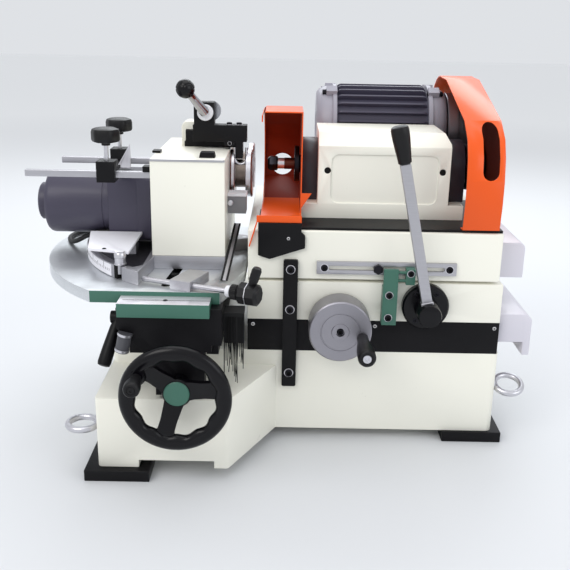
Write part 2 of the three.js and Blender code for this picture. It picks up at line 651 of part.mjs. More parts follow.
// Slot bar along the front of the upper slide, with the fixed stop nut at its left
function slotBar() {
  const face = middle.frontGap;
  const front = face - bar.thickness;
  const [left, right] = [bar.left, bar.left + bar.width];
  const mid = bar.bottom + bar.height / 2;
  const half = bar.slotHeight / 2;
  const slot = [
    ...arc(right - bar.slotInset, mid, half, -90, 90, 6), ...arc(left + bar.slotInset, mid, half, 90, 270, 6),
  ];
  return join(
    cut(block([left, right], [front, face], [bar.bottom, bar.bottom + bar.height]),
      prism(slot, 'y', front - overrun, face + overrun)),
    rod('y', [left + stopNut.fromBar, 0, mid], stopNut.radius, front - stopNut.length, front + bar.thickness / 2, 6),
  );
}

function strokeStop() {
  const back = middle.frontGap - bar.thickness - stroke.gapToBar;
  const top = bar.bottom + bar.height - stroke.height / 4;
  const [left, bottom] = [stroke.left, top - stroke.height];
  const centre = (top + bottom) / 2;
  const bits = [-1, 1].map((side) => rod('x', [0, back - stroke.depth * 0.7, centre + side * stroke.spread / 2],
    stroke.bit, left - stroke.bitLength, left + stroke.width / 2, 10));
  return join(block([left, left + stroke.width], [back - stroke.depth, back], [bottom, top]), ...bits);
}

// Wheel spindle: base plate, housing, covers, shaft
function spindleBasePlate() {
  return block([plate.left, plate.right], [plate.front, plate.front + plate.depth], [upper.top, plate.top]);
}

function spindleHousing() {
  const [front, back] = [housing.front, housing.front + housing.depth];
  const outline = [
    [front, plate.top], [back, plate.top], [back, housing.top], [front + housing.chamfer, housing.top],
    [front, housing.top - housing.chamfer],
  ];
  const [left, bottom] = [housing.left + panel.left, upper.top + panel.bottom];
  const frame = softened(rectangle(left, left + panel.width, bottom, bottom + panel.height), panel.corner);
  const flangeLeft = guard.left + guard.width + gap;
  const endCut = [
    [housing.right - housing.chamfer / 2, housing.top + overrun], [housing.right + overrun, housing.top + overrun],
    [housing.right + overrun, housing.top - housing.chamfer],
  ];
  const ports = [housing.left + port.inset + port.rise, housing.right - port.inset + port.rise / 2].map((x) =>
    rod('y', [x, 0, axis.z + port.rise], port.radius, front - overrun, front + port.depth, 16));
  return cut(
    join(
      prism(outline, 'x', housing.left, housing.right),
      block([flangeLeft, flangeLeft + housing.flangeWidth], [front, back],
        [plate.top, plate.top + housing.flangeHeight]),
    ),
    prism(frame, 'y', front - overrun, front + panel.depth),
    prism(endCut, 'y', front - overrun, back + overrun),
    rod('x', [0, axis.y, axis.z], housing.bore, housing.left - overrun, housing.right + overrun),
    ...ports,
  );
}

// A bearing cover: round above the spindle and straight-sided down to the housing's foot
function bearingCover(from, to) {
  const footTop = plate.top + housing.flangeHeight;
  const outline = [
    [axis.y - cover.radius, footTop], [axis.y + cover.radius, footTop],
    ...arc(axis.y, axis.z, cover.radius, 0, 180, 20),
  ];
  return cut(prism(outline, 'x', from, to), rod('x', [0, axis.y, axis.z], cover.bore, from - overrun, to + overrun));
}

function spindleShaft() {
  const tail = spindlePulley.left - gap;
  return turned([
    [spindle.nutRadius, spindle.noseEnd], [spindle.nutRadius, spindle.noseEnd + spindle.nutWidth],
    [spindle.nose, spindle.noseEnd + spindle.nutWidth], [spindle.nose, spindle.flangeLeft],
    [spindle.flange, spindle.flangeLeft], [spindle.flange, spindle.flangeLeft + spindle.flangeWidth],
    [spindle.radius, spindle.flangeLeft + spindle.flangeWidth], [spindle.radius, tail],
    [spindle.tail, tail], [spindle.tail, spindlePulley.left + spindlePulley.width + gap],
  ], 'x', [0, 0, 0], 24);
}

// A pulley with one belt groove, bored for its shaft
function pulley(size, bore, groove) {
  const [left, right] = [size.left, size.left + size.width];
  const side = belt.width / 2 + belt.sideGap;
  const [grooveLeft, grooveRight] = [belt.centre - side, belt.centre + side];
  const body = turned([
    [size.radius, left], [size.radius, grooveLeft], [groove, grooveLeft], [groove, grooveRight],
    [size.radius, grooveRight], [size.radius, right],
  ], 'x', [0, 0, 0], 28);
  return cut(body, rod('x', [0, 0, 0], bore, left - overrun, right + overrun));
}

const grooves = {
  spindle: spindlePulley.radius - belt.thickness + gap, motor: motorPulley.radius - belt.thickness + gap,
};

function motorPulleyAndShaft() {
  const right = motorPulley.left + motorPulley.width;
  const shaftLeft = motor.left + motor.width + motor.bellRight / 2;
  const dish = cut(
    rod('x', [0, 0, 0], motorPulley.radius * 0.8, right - motorPulley.dish, right + overrun, 28),
    rod('x', [0, 0, 0], motorPulley.hub, right - motorPulley.dish - overrun, right + 2 * overrun),
  );
  return join(cut(pulley(motorPulley, spindle.tail, grooves.motor), dish),
    rod('x', [0, 0, 0], spindle.tail, shaftLeft, right));
}

function driveBelt() {
  const [left, right] = [belt.centre - belt.width / 2, belt.centre + belt.width / 2];
  const [a, b] = [[axis.y, axis.z], [motor.y, motor.z]];
  const [inA, inB] = [grooves.spindle + gap, grooves.motor + gap];
  return cut(
    prism(loop(a, inA + belt.thickness, b, inB + belt.thickness), 'x', left, right),
    prism(loop(a, inA, b, inB), 'x', left - overrun, right + overrun),
  );
}

function spindleMotor() {
  const [left, right] = [motor.left, motor.left + motor.width];
  const half = THREE.MathUtils.radToDeg(motor.finWidth / motor.fin) / 2;
  const step = 360 / motor.finCount;
  const fins = Array.from({ length: motor.finCount }, (_, i) => i * step).flatMap((angle) => [
    onCircle(motor.core, angle - half), onCircle(motor.fin, angle - half),
    onCircle(motor.fin, angle + half), onCircle(motor.core, angle + half),
  ]).map(([y, z]) => [motor.y + y, motor.z + z]);
  const { front, depth, inset } = motor.foot;
  return cut(
    join(
      prism(fins, 'x', left, right),
      turned([
        [motor.bell * 0.86, left - motor.bellLeft], [motor.bell, left - motor.bellLeft * 0.6],
        [motor.bell, left], [motor.bell, right],
        [motor.bell, right + motor.bellRight * 0.6], [motor.bell * 0.86, right + motor.bellRight],
      ], 'x', [0, motor.y, motor.z], 28),
      block([left + inset, right - inset], [front, front + depth], [plate.top, motor.z - motor.core * 0.7]),
    ),
    rod('x', [0, motor.y, motor.z], spindle.tail + gap, right + motor.bellRight / 2 - gap,
      right + 2 * motor.bellRight),
  );
}

// Guards of folded sheet
function wheelGuard() {
  const [left, right] = [guard.left, guard.left + guard.width];
  const bottom = plate.top + guard.lift;
  const top = axis.z + guard.top;
  const back = axis.y + guard.back;
  const bend = [back - guard.back * 0.7, back - guard.back * 0.05];
  const outline = [
    [guard.front, bottom], [bend[0], bottom], [bend[1], bottom + guard.back * 0.3],
    ...arc(axis.y, axis.z, guard.back, 0, guard.shoulder, 10), [guard.front, top],
  ];
  const inside = [
    [guard.front - overrun, bottom + guard.sheet], [bend[0], bottom + guard.sheet],
    [bend[1] - guard.sheet, bottom + guard.back * 0.3 + guard.sheet],
    ...arc(axis.y, axis.z, guard.back - guard.sheet, 0, guard.shoulder, 10),
    [guard.front - overrun, top - guard.sheet],
  ];
  const opening = [
    [guard.front - overrun, bottom + guard.sheet], [bend[0] - guard.flange, bottom + guard.sheet],
    ...arc(axis.y, axis.z, guard.back - guard.flange, guard.mouth, guard.shoulder, 10),
    [guard.front + 2 * guard.cut, top - guard.flange], [guard.front - overrun, top - guard.flange - guard.cut],
  ];
  const corner = [
    [left - overrun, top + overrun], [left + guard.cut, top + overrun], [left - overrun, top - guard.cut],
  ];
  const shell = cut(
    prism(outline, 'x', left, right),
    prism(inside, 'x', left + guard.sheet, right - guard.sheet),
    prism(opening, 'x', left - overrun, left + 2 * guard.sheet),
    rod('x', [0, axis.y, axis.z], guard.hole, right - 2 * guard.sheet, right + overrun),
    rod('y', [(left + right) / 2, 0, axis.z - guard.window * 0.84], guard.window, axis.y + guard.back / 2,
      back + overrun),
    prism(corner, 'y', guard.front - overrun, back + overrun),
  );
  const lipFront = guard.front - guard.lip;
  const { drop, lean, depth } = guard.strip;
  const flapZ = bottom + guard.flap.rise;
  const tab = left - guard.tab;
  return join(
    shell,
    block([left, right], [lipFront, guard.front + overrun], [bottom, bottom + guard.sheet]),
    block([tab, right], [lipFront - guard.sheet, lipFront], [bottom, bottom + guard.lipRise]),
    prism([[tab, bottom + guard.sheet], [tab + guard.sheet, bottom + guard.sheet],
      [tab - lean + guard.sheet, bottom - drop], [tab - lean, bottom - drop]],
    'y', lipFront - depth, lipFront),
    prism([[right - guard.sheet, flapZ], [right, flapZ], [right + guard.flap.width, flapZ + guard.flap.height],
      [right - guard.sheet, flapZ + guard.flap.height]], 'y', guard.front, guard.front + guard.sheet),
  );
}

function guardBracketPlate() {
  const { left, right, thickness, depth, edge } = guardBracket;
  const face = middle.frontGap;
  const top = plate.top + guard.lift - gap;
  const low = strap.top + gap;
  const fall = top - low;
  const outline = [
    [left, top], [right, top], [right, top - fall * 0.24], [right + thickness, top - fall * 0.34],
    [right + thickness, top - fall * 0.68], [left + 3 * thickness, low], [left, low + thickness],
  ];
  return join(
    prism(outline, 'y', face - thickness, face),
    block([left, edge], [face - overrun, depth], [upper.top, top]),
  );
}

function beltGuardSheet() {
  const [left, right] = [beltGuard.left, beltGuard.left + beltGuard.width];
  const [front, footTop] = [beltGuard.front, plate.top + beltGuard.sheet];
  const line = [
    [front + beltGuard.foot, footTop], [front, footTop],
    ...beltGuard.bends.map(([behind, above]) => [front + behind, footTop + above]),
    ...arc(motor.y, motor.z, beltGuard.back, beltGuard.crown, -beltGuard.hang, 10),
  ];
  const slotLeft = left + beltGuard.slot.inset;
  const slotX = slotLeft + beltGuard.slot.width / 2;
  const slotBottom = upper.top + beltGuard.slot.bottom;
  const radius = beltGuard.slot.width / 2;
  const slot = capsule(slotX, slotBottom + radius, slotBottom + beltGuard.slot.height - radius, radius);
  const bent = strip(line, -beltGuard.sheet);
  const side = prism(bent.slice(line.length), 'x', right - beltGuard.sheet, right);
  return cut(join(prism(bent, 'x', left, right), side), prism(slot, 'y', front - 2 * beltGuard.foot,
    front + 4 * beltGuard.foot));
}

// Work side: saddle with its gibs, feed and scale ledge
function saddleCasting() {
  const { left, right, front, back } = saddle;
  const underside = workBed.top - saddle.drop;
  const nose = [
    [left, saddle.z], [left, saddle.z - saddle.lip + saddle.skirt / 4],
    [left + saddle.skirt, underside + saddle.lip * 0.78],
    [workBed.left, underside], [workBed.right, underside], [workBed.right, underside + saddle.skirt],
    [right, underside + saddle.skirt], [right, saddle.z],
  ];
  const noseBack = front + saddle.lip;
  const [bodyLeft, bodyRight] = [left + saddle.skirt, right - saddle.skirt / 1.5];
  const bottom = workBed.top - saddle.apron;
  const mate = dovetail(workBed.left, workBed.right, workBed.neck, workBed.top + gap,
    workBed.top - workBed.wayHeight, workBed.top - workBed.wayHeight - overrun, 2 * gap);
  const hangerLeft = workFeed.x - hanger.width / 2;
  return cut(
    join(
      prism(nose, 'y', front, noseBack + overrun),
      cut(block([bodyLeft, bodyRight], [noseBack, back], [bottom, saddle.z]), prism(mate, 'y', noseBack - overrun,
        back + overrun)),
      block([hangerLeft, hangerLeft + hanger.width], [front, front + hanger.depth],
        [workFeed.z - hanger.bottom, underside + overrun]),
      rod('x', [0, clamp.y, clamp.z], clamp.stubRadius, left - clamp.stub, left + overrun, 16),
    ),
    rod('y', [workFeed.x, 0, workFeed.z], workFeed.radius + gap, front - overrun, front + hanger.depth + overrun),
    rod('x', [0, clamp.y, clamp.z], clamp.rod / 2 + gap, left - clamp.stub - overrun, left),
  );
}

function scaleLedge() {
  const [left, right] = [ledge.left, ledge.left + ledge.width];
  return join(
    block([left, right], [ledge.front, ledge.back], [saddle.z, saddle.z + ledge.thickness]),
    block([left, right], [ledge.front, saddle.front], [saddle.z - ledge.lip, saddle.z + overrun]),
  );
}

function sectorPlate() {
  const start = Math.asin((pivot.y - sector.front) / sector.radius) * 180 / Math.PI + 180;
  const end = 180 - Math.asin((sector.back - pivot.y) / sector.radius) * 180 / Math.PI;
  const outline = [
    [sector.right, sector.front], [sector.edge, sector.side - gap], [sector.edge, sector.back],
    ...arc(pivot.x, pivot.y, sector.radius, end, start, 24),
  ];
  const slotFloor = sector.top - arcSlot.depth;
  const slotEnd = arcSlot.front + arcSlot.length;
  const half = arcSlot.width / 2;
  const slot = [
    ...arc(arcSlot.x + arcSlot.lean, slotEnd, half, 0, 180, 6), ...arc(arcSlot.x, arcSlot.front, half, 180, 360, 6),
  ];
  const boltX = arcSlot.x + arcSlot.lean * (arcSlot.boltY - arcSlot.front) / arcSlot.length;
  return join(
    cut(prism(outline, 'z', saddle.z, sector.top), prism(slot, 'z', slotFloor, sector.top + overrun)),
    rod('z', [boltX, arcSlot.boltY, 0], arcSlot.bolt, slotFloor - overrun, sector.top - gap, 6),
    rod('z', [pivot.x, pivot.y, 0], pivot.radius, sector.top - overrun, swivel.top - gap),
  );
}

function angleScrewBlock() {
  const width = screwBlock.width / 2;
  const [front, back] = [-screwBlock.forward, screwBlock.depth - screwBlock.forward];
  const body = cut(
    block([-width, width], [front, back], [-angleScrew.rise, screwBlock.height - angleScrew.rise]),
    rod('x', [0, 0, 0], angleScrew.radius + gap, -width - overrun, width + overrun, 16),
  );
  return onAngleLine(body, screwBlock.along + width / 2);
}

// Sets a piece made about the X axis on the line of the angle screw, a distance from the screw's tip
function onAngleLine(piece, along) {
  const [x, y] = onCircle(along, angleScrew.angle);
  return piece.rotate([0, 0, angleScrew.angle]).translate([angleScrew.x + x, angleScrew.y + y,
    sector.top + angleScrew.rise]);
}

function angleScrewAndKnob() {
  const { length, collarWidth, neck, body, pin } = angleScrew;
  const [collarEnd, neckEnd] = [length + collarWidth, length + collarWidth + neck.width];
  const end = neckEnd + body.width;
  const knobBody = turned([
    [angleScrew.radius, 0], [angleScrew.radius, length], [angleScrew.collar, length], [angleScrew.collar, collarEnd],
    [neck.radius, collarEnd], [neck.radius, neckEnd], [body.radius - body.chamfer, neckEnd],
    [body.radius, neckEnd + body.chamfer], [body.radius, end - body.chamfer], [body.radius - body.chamfer, end],
  ], 'x', [0, 0, 0], 20);
  const handle = rod('z', [neckEnd + pin.along, 0, 0], pin.radius, body.radius / 2, body.radius + pin.length, 14);
  return onAngleLine(join(knobBody, handle), 0);
}

// Strips of rubber that hang from one rail at the saddle's right side
function splashCurtain() {
  const [left, right] = [saddle.right + gap, saddle.right + gap + curtain.width];
  const [front, back] = [curtain.front, curtain.front + curtain.depth];
  const pitch = (curtain.depth + curtain.slit) / curtain.strips;
  const slits = Array.from({ length: curtain.strips - 1 }, (_, i) => {
    const start = front + (i + 1) * pitch - curtain.slit;
    return block([left - overrun, right + overrun], [start, start + curtain.slit],
      [curtain.bottom - overrun, curtain.top - curtain.rail]);
  });
  const outline = [
    [left, curtain.top], [right, curtain.top], [right - curtain.rail / 2, curtain.bottom],
    [left + curtain.rail, curtain.bottom],
  ];
  return cut(prism(outline, 'y', front, back), ...slits);
}

function workLeadscrew() {
  const start = wheel.hubFront + wheel.hubDepth;
  return turned([[workFeed.radius, start], [workFeed.radius, workFeed.back]], 'y', [0, 0, 0], 20);
}

// Spoked handwheel about its own axis, its rim scalloped on the inside for the fingers
function workWheel() {
  const { radius, rim, depth, front, hubFront, spokeDepth } = wheel;
  const inner = radius - 2 * rim;
  const ring = turned([
    [inner, front + depth * 0.3], [inner + rim * 0.6, front], [radius - rim * 0.4, front],
    [radius, front + depth * 0.3], [radius, front + depth * 0.7], [radius - rim * 0.4, front + depth],
    [inner + rim * 0.6, front + depth], [inner, front + depth * 0.7],
  ], 'y', [0, 0, 0], 32);
  const hollow = rod('y', [0, 0, 0], inner, front - overrun, front + depth + overrun, 32);
  const hubBack = saddle.front - gap;
  const spokes = Array.from({ length: wheel.spokes }, (_, i) => {
    const angle = wheel.first + i * 360 / wheel.spokes;
    const [inside, outside] = [hubFront + depth * 0.1, front + depth * 0.35];
    return prism([[wheel.hub / 2, inside], [inner + rim / 2, outside], [inner + rim / 2, outside + spokeDepth],
      [wheel.hub / 2, inside + spokeDepth]], 'z', -wheel.spoke, wheel.spoke).rotate([0, -angle, 0]);
  });
  const [x, z] = onCircle(workCrank.reach, workCrank.angle);
  const seat = rod('y', [x, 0, z], workCrank.end, front + gap, front + depth * 0.8, 20);
  return cut(
    join(
      cut(ring, hollow), ...spokes, seat,
      turned([[wheel.hub * 0.9, hubFront], [wheel.hub, hubFront + depth * 0.1], [wheel.hub, hubFront + spokeDepth],
        [wheel.boss, hubFront + depth], [wheel.boss, hubBack]], 'y', [0, 0, 0], 24),
    ),
    rod('y', [0, 0, 0], workFeed.radius + gap, hubFront + wheel.hubDepth - gap, hubBack + overrun),
    rod('y', [x, 0, z], workCrank.pin + gap, front - overrun, front + workCrank.stub + gap, 14),
  );
}

function clampLever() {
  const left = -clamp.hubWidth - gap;
  const { x, y, z } = clamp.reach;
  const start = [left / 2, 0, 0];
  const end = [left / 2 + x, y, z];
  const length = Math.hypot(x, y, z);
  const share = 1 - clamp.gripLength / length;
  const gripStart = [left / 2 + x * share, y * share, z * share];
  return join(
    rod('x', [0, 0, 0], clamp.hub, left, -gap, 18),
    strut(start, end, clamp.rod, 12),
    strut(gripStart, end, clamp.grip, 16),
    rod('x', [0, 0, 0], clamp.rod / 2, left, clamp.stub - 2 * gap, 12),
  );
}

// Work head: the swivel plate, with its rim, recess, clamp bolt and the shelf over it
function swivelPlate() {
  const { radius, wall, from, to, front, right, bolt, shelf } = swivel;
  const ear = 2 * pivot.radius;
  const headBack = head.front + head.depth;
  const outline = [
    [swivel.block.x, swivel.block.y], ...arc(pivot.x, pivot.y, radius, to, from, 18),
    [head.left - shelf.leg, headBack], [right, headBack], [right, pivot.y + 2 * ear], [pivot.x + ear, pivot.y + ear],
    [pivot.x + ear, pivot.y - ear], [right, pivot.y - 2 * ear], [right, front],
  ];
  const hollow = [
    ...arc(pivot.x, pivot.y, radius - wall, swivel.recessFrom, swivel.recessTo, 12),
    [head.left - shelf.inset, front - 4 * wall],
    [head.left - shelf.inset, pivot.y],
  ];
  const [bx, by] = onCircle(bolt.reach, bolt.angle);
  const slot = block([radius - wall - overrun, radius + overrun], [-bolt.slot / 2, bolt.slot / 2],
    [swivel.bottom - overrun, swivel.top + overrun])
    .rotate([0, 0, bolt.slotAngle]).translate([pivot.x, pivot.y, 0]);
  const shelfBottom = swivel.top + shelf.lift;
  return join(
    cut(
      prism(outline, 'z', swivel.bottom, swivel.top),
      prism(hollow, 'z', swivel.top - swivel.recess, swivel.top + overrun),
      slot,
      rod('z', [pivot.x, pivot.y, 0], pivot.radius + gap, swivel.bottom - overrun, swivel.top + overrun),
    ),
    rod('z', [pivot.x + bx, pivot.y + by, 0], bolt.radius, swivel.top - swivel.recess - overrun,
      swivel.top + bolt.rise, 16),
    prism([[shelf.left, shelf.front + shelf.skew], [shelf.left + shelf.width, shelf.front],
      [shelf.left + shelf.width, shelf.front + shelf.depth], [shelf.left - shelf.flare, shelf.front + shelf.depth]],
    'z', shelfBottom, shelfBottom + shelf.thickness),
    block([shelf.left + shelf.inset, shelf.left + shelf.width - shelf.inset],
      [shelf.front + shelf.depth - shelf.leg, shelf.front + shelf.depth - shelf.inset],
      [swivel.top - swivel.recess - overrun, shelfBottom + overrun / 2]),
  );
}

function headHousing() {
  const outline = softened(rectangle(head.front, head.front + head.depth, head.bottom, head.top),
    [0, 0, head.corner, head.corner], 3);
  const bores = [roller.y, roller.y + roller.pitch].map((y) =>
    rod('x', [0, y, roller.z], roller.shaft + gap, head.right - roller.depth, head.right + overrun));
  const sockets = [rail.front, rail.rear].map((y) => railBlock(y, head.left - overrun, head.left + rail.depth, gap));
  const ledgeZ = head.bottom + rest.bottom;
  return cut(
    join(
      prism(outline, 'x', head.left, head.right),
      block([head.right - overrun, head.right + rest.width], [rest.front, rest.front + rest.depth],
        [ledgeZ, ledgeZ + rest.height]),
    ),
    ...bores, ...sockets,
  );
}

// A length of one of the end stop's rails, or the room for it
function railBlock(y, from, to, spare) {
  const [bottom, half] = [head.bottom + rail.rise - rail.side / 2, rail.side / 2];
  return block([from, to], [y - half - spare, y + half + spare], [bottom - spare, bottom + rail.side + spare]);
}

function headGearbox() {
  const half = drive.box / 2;
  const wide = drive.flange / 2;
  const boxLeft = head.left - drive.flangeWidth - drive.boxWidth;
  const square = (side) => softened(
    rectangle(drive.y - side, drive.y + side, drive.z - side, drive.z + side), drive.edge, 3,
  );
  const lift = drive.z - wide - swivel.top;
  const flange = square(wide).map(([y, z]) => [y, Math.max(z, swivel.top + Math.max(gap, lift))]);
  return join(
    prism(square(half), 'x', boxLeft, head.left - drive.flangeWidth + overrun / 3),
    prism(flange, 'x', head.left - drive.flangeWidth, head.left),
  );
}

function headMotor() {
  const right = head.left - drive.flangeWidth - drive.boxWidth;
  const canLeft = right - drive.canLength;
  return turned([
    [drive.cap * 0.92, canLeft - drive.capLength], [drive.cap, canLeft - drive.capLength * 0.8],
    [drive.cap, canLeft], [drive.can * 0.9, canLeft], [drive.can, canLeft + drive.can * 0.1], [drive.can, right],
  ], 'x', [0, drive.y, drive.z], 32);
}

function flangedRoller() {
  const left = gap;
  const [a, b] = [left + roller.left, left + roller.left + roller.groove];
  return turned([
    [roller.shaft, -roller.depth + gap], [roller.shaft, left], [roller.radius, left], [roller.radius, a],
    [roller.core, a], [roller.core, b], [roller.radius, b], [roller.radius, b + roller.right],
  ], 'x', [0, 0, 0], 28);
}

function holdDownPost() {
  const { left, width, front, depth, height, corner } = post;
  const top = head.top + height;
  const face = softened(rectangle(left, left + width, head.top, top), [0, 0, 0, corner]);
  const bulk = prism(face, 'y', front, front + depth);
  const cheek = block([post.plate.left, post.plate.left + post.plate.width], [front - post.plate.depth, front],
    [head.top, head.top + post.plate.height]);
  const hole = rod('y', [arm.pivot.x, 0, head.top + arm.pivot.rise], arm.pivot.radius + gap,
    front - post.plate.depth - overrun, front - post.plate.depth + arm.pivot.depth + gap, 16);
  return cut(join(bulk, cheek), hole);
}

// Hold-down arm about its pivot, with the ear that carries the eccentric lever
function holdDownArm() {
  const x = arm.left - arm.pivot.x;
  const [bottom, top] = [arm.bottom - arm.pivot.rise, arm.bottom - arm.pivot.rise + arm.height];
  const back = arm.front + arm.depth;
  const ear = arm.ear.left - arm.pivot.x;
  const noseRight = x + arm.width - arm.noseInset;
  return cut(
    join(
      block([x, x + arm.width], [arm.front, back], [bottom, top]),
      block([noseRight - arm.nose, noseRight], [arm.front, back], [bottom - arm.noseDrop, bottom + overrun]),
      block([ear, ear + arm.ear.width], [arm.front, back], [top - overrun, top + arm.ear.height]),
      rod('y', [0, 0, 0], arm.pivot.radius, back - overrun, back + arm.pivot.depth, 16),
    ),
    rod('y', [cam.x - arm.pivot.x, 0, top + cam.rise], cam.shaft + gap, arm.front - overrun, back + overrun, 16),
  );
}

function holdDownLever() {
  const front = arm.front - gap;
  const back = arm.front + arm.depth + gap;
  const { x, y, z, radius } = cam.ball;
  const centre = [x, front - cam.flangeDepth + y, z];
  return join(
    rod('y', [0, 0, 0], cam.flange, front - cam.flangeDepth, front, 20),
    rod('y', [0, 0, 0], cam.shaft, front - overrun, back + overrun, 16),
    rod('y', [cam.offset, 0, 0], cam.disc, back, back + cam.discDepth, 24),
    strut([0, front - cam.flangeDepth, 0], centre, cam.rod, 12),
    ball(centre, radius),
  );
}

// End stop: a carriage on the two rails, with one clamp knob on each side
const stopBottom = head.bottom + rail.rise - rail.side / 2 - stop.drop;
const stopTop = stopBottom + stop.height;

function endStopCarriage() {
  const rearLeft = stop.left - stop.rearShift;
  const half = stop.depth / 2;
  const barZ = stopBottom + stop.height / 3;
  const fin = stop.fin;
  const right = stop.left + stop.width + fin.foot / 2;
  const carrier = join(
    block([stop.left, stop.left + stop.width], [rail.front - half, rail.front + half], [stopBottom, stopTop]),
    block([rearLeft, rearLeft + stop.width], [rail.rear - half, rail.rear + half], [stopBottom, stopTop]),
    block([stop.left + stop.plateInset, stop.left + stop.width - stop.plateInset], [rail.front + half - overrun,
      rail.rear - half + overrun], [barZ, barZ + stop.plate]),
    prism([[right - fin.foot, barZ], [right, barZ], [right, barZ + fin.height]], 'y', fin.y, fin.y + fin.thickness),
  );
  const holes = [[rail.front, stop.left], [rail.rear, rearLeft]].map(([y, x]) =>
    rod('z', [x + stop.width / 2, y, 0], knob.stem + gap, stopTop - knob.into - gap, stopTop + overrun, 14));
  const rooms = [rail.front, rail.rear].map((y) => railBlock(y, rearLeft - overrun, head.left, gap));
  return cut(carrier, ...rooms, ...holes);
}

function clampKnob() {
  const low = knob.stemLength;
  return turned([
    [knob.stem, -knob.into], [knob.stem, low - knob.neckHeight], [knob.neck, low - knob.neckHeight],
    [knob.neck, low], [knob.radius * 0.93, low], [knob.radius, low + knob.height * 0.1],
    [knob.radius * 0.95, low + knob.height * 0.8], [knob.radius * 0.7, low + knob.height * 0.95],
    [knob.radius * 0.2, low + knob.height],
  ], 'z', [0, 0, 0], 20);
}

// The lead as one tube along a smooth line through its points
function motorLead() {
  const route = new THREE.CatmullRomCurve3(leadRoute.map((point) => new THREE.Vector3(...point)));
  const ring = arc(0, 0, lead.diameter / 2, 0, 360, lead.sides).slice(0, -1);
  const section = new THREE.Shape(ring.map(([a, b]) => new THREE.Vector2(a, b)));
  return solid(new THREE.ExtrudeGeometry(section, { extrudePath: route, steps: 36, bevelEnabled: false }));
}

// Scene graph: one group for each part of the machine, and one named mesh for each piece
function meshOf(name, shape, [color, roughness, metalness], [x, y, z] = [0, 0, 0]) {
  const { vertProperties, triVerts } = shape.getMesh();
  const geometry = new THREE.BufferGeometry();
  geometry.setAttribute('position', new THREE.BufferAttribute(vertProperties, 3));
  geometry.setIndex(new THREE.BufferAttribute(triVerts, 1));
  geometry.computeVertexNormals();
  const mesh = new THREE.Mesh(geometry, finish(color, roughness, metalness));
  mesh.name = name;
  mesh.position.set(x, y, z);
  return mesh;
}

function groupOf(...children) {
  const group = new THREE.Group();
  group.add(...children);
  return group;
}

function fixedPieces() {
  const { cream, black, cast, steel } = paint;
  const left = base.left - foot.outset;
  const right = base.right + foot.setback - foot.side;
  const back = base.depth + foot.setback - foot.side;
  return groupOf(
    meshOf('base_casting', baseCasting(), cream),
    meshOf('front_left_pad', footPad(left, -knee.reach - foot.frontSetback), black),
    meshOf('front_right_pad', footPad(right, -foot.frontInset), black),
    meshOf('rear_left_pad', footPad(left, back), black),
    meshOf('rear_right_pad', footPad(right, back), black),
    meshOf('left_eye_bolt', liftingEye(leftEye, -1, 0), steel),
    meshOf('right_eye_bolt', liftingEye(rightEye, 1, eye.tilt), steel),
    meshOf('cross_bed', crossBed(), cast),
    meshOf('work_bed', workBedCasting(), cast),
  );
}

function crossSlidePieces() {
  const { cream, green, grey, aluminium, black, steel } = paint;
  const wheelPlace = [feed.x, 0, feed.z];
  const [x, z] = onCircle(crossCrank.reach, crossCrank.angle);
  return groupOf(
    meshOf('middle_slide', middleSlide(), cream),
    meshOf('stop_bracket', stopBracket(), green),
    meshOf('transport_strap', transportStrap(), black),
    meshOf('right_lower_cover', lowerRightCover(), grey),
    meshOf('cross_leadscrew', crossLeadscrew(), steel, wheelPlace),
    meshOf('cross_handwheel', crossWheel(), aluminium, wheelPlace),
    meshOf('cross_crank_handle', crankHandle(crossCrank, -drum.standoff - drum.depth), black,
      [feed.x + x, 0, feed.z + z]),
    meshOf('lever_hub', leverHub(), black, [lever.x, 0, lever.z]),
    meshOf('lever_bar', leverBar(), steel, [lever.x, 0, lever.z]),
    meshOf('lever_grip', leverGrip(), black, [lever.x, 0, lever.z]),
  );
}

function traversePieces() {
  const { cream, black, green, grey, orange, steel, motor: motorPaint, rubber, aluminium } = paint;
  const spindlePlace = [0, axis.y, axis.z];
  return groupOf(
    meshOf('upper_slide', upperSlide(), cream),
    meshOf('slot_bar', slotBar(), steel),
    meshOf('stroke_stop_block', strokeStop(), green),
    meshOf('right_upper_cover', endCover(upperCover, upper.right + gap, upper.bottom + upperCover.bottom), grey),
    meshOf('spindle_base_plate', spindleBasePlate(), black),
    meshOf('spindle_housing', spindleHousing(), cream),
    meshOf('left_bearing_cover', bearingCover(housing.left - cover.left, housing.left), black),
    meshOf('right_bearing_cover', bearingCover(housing.right, housing.right + cover.right), black),
    meshOf('spindle_shaft', spindleShaft(), steel, spindlePlace),
    meshOf('spindle_pulley', pulley(spindlePulley, spindle.tail + gap, grooves.spindle), black, spindlePlace),
    meshOf('wheel_guard', wheelGuard(), orange),
    meshOf('guard_bracket', guardBracketPlate(), black),
    meshOf('spindle_motor', spindleMotor(), motorPaint),
    meshOf('motor_pulley', motorPulleyAndShaft(), aluminium, [0, motor.y, motor.z]),
    meshOf('drive_belt', driveBelt(), rubber),
    meshOf('belt_guard', beltGuardSheet(), orange),
  );
}

function workSidePieces() {
  const { cast, green, steel, black, rubber } = paint;
  const [x, z] = onCircle(workCrank.reach, workCrank.angle);
  return groupOf(
    meshOf('saddle', saddleCasting(), cast),
    meshOf('scale_ledge', scaleLedge(), green),
    meshOf('swivel_base_plate', sectorPlate(), steel),
    meshOf('angle_screw_block', angleScrewBlock(), steel),
    meshOf('angle_screw', angleScrewAndKnob(), steel),
    meshOf('splash_curtain', splashCurtain(), rubber),
    meshOf('work_leadscrew', workLeadscrew(), steel, [workFeed.x, 0, workFeed.z]),
    meshOf('work_handwheel', workWheel(), black, [workFeed.x, 0, workFeed.z]),
    meshOf('work_crank_handle', crankHandle(workCrank, wheel.front), black, [workFeed.x + x, 0, workFeed.z + z]),
    meshOf('saddle_clamp_lever', clampLever(), black, [saddle.left - clamp.stub, clamp.y, clamp.z]),
  );
}

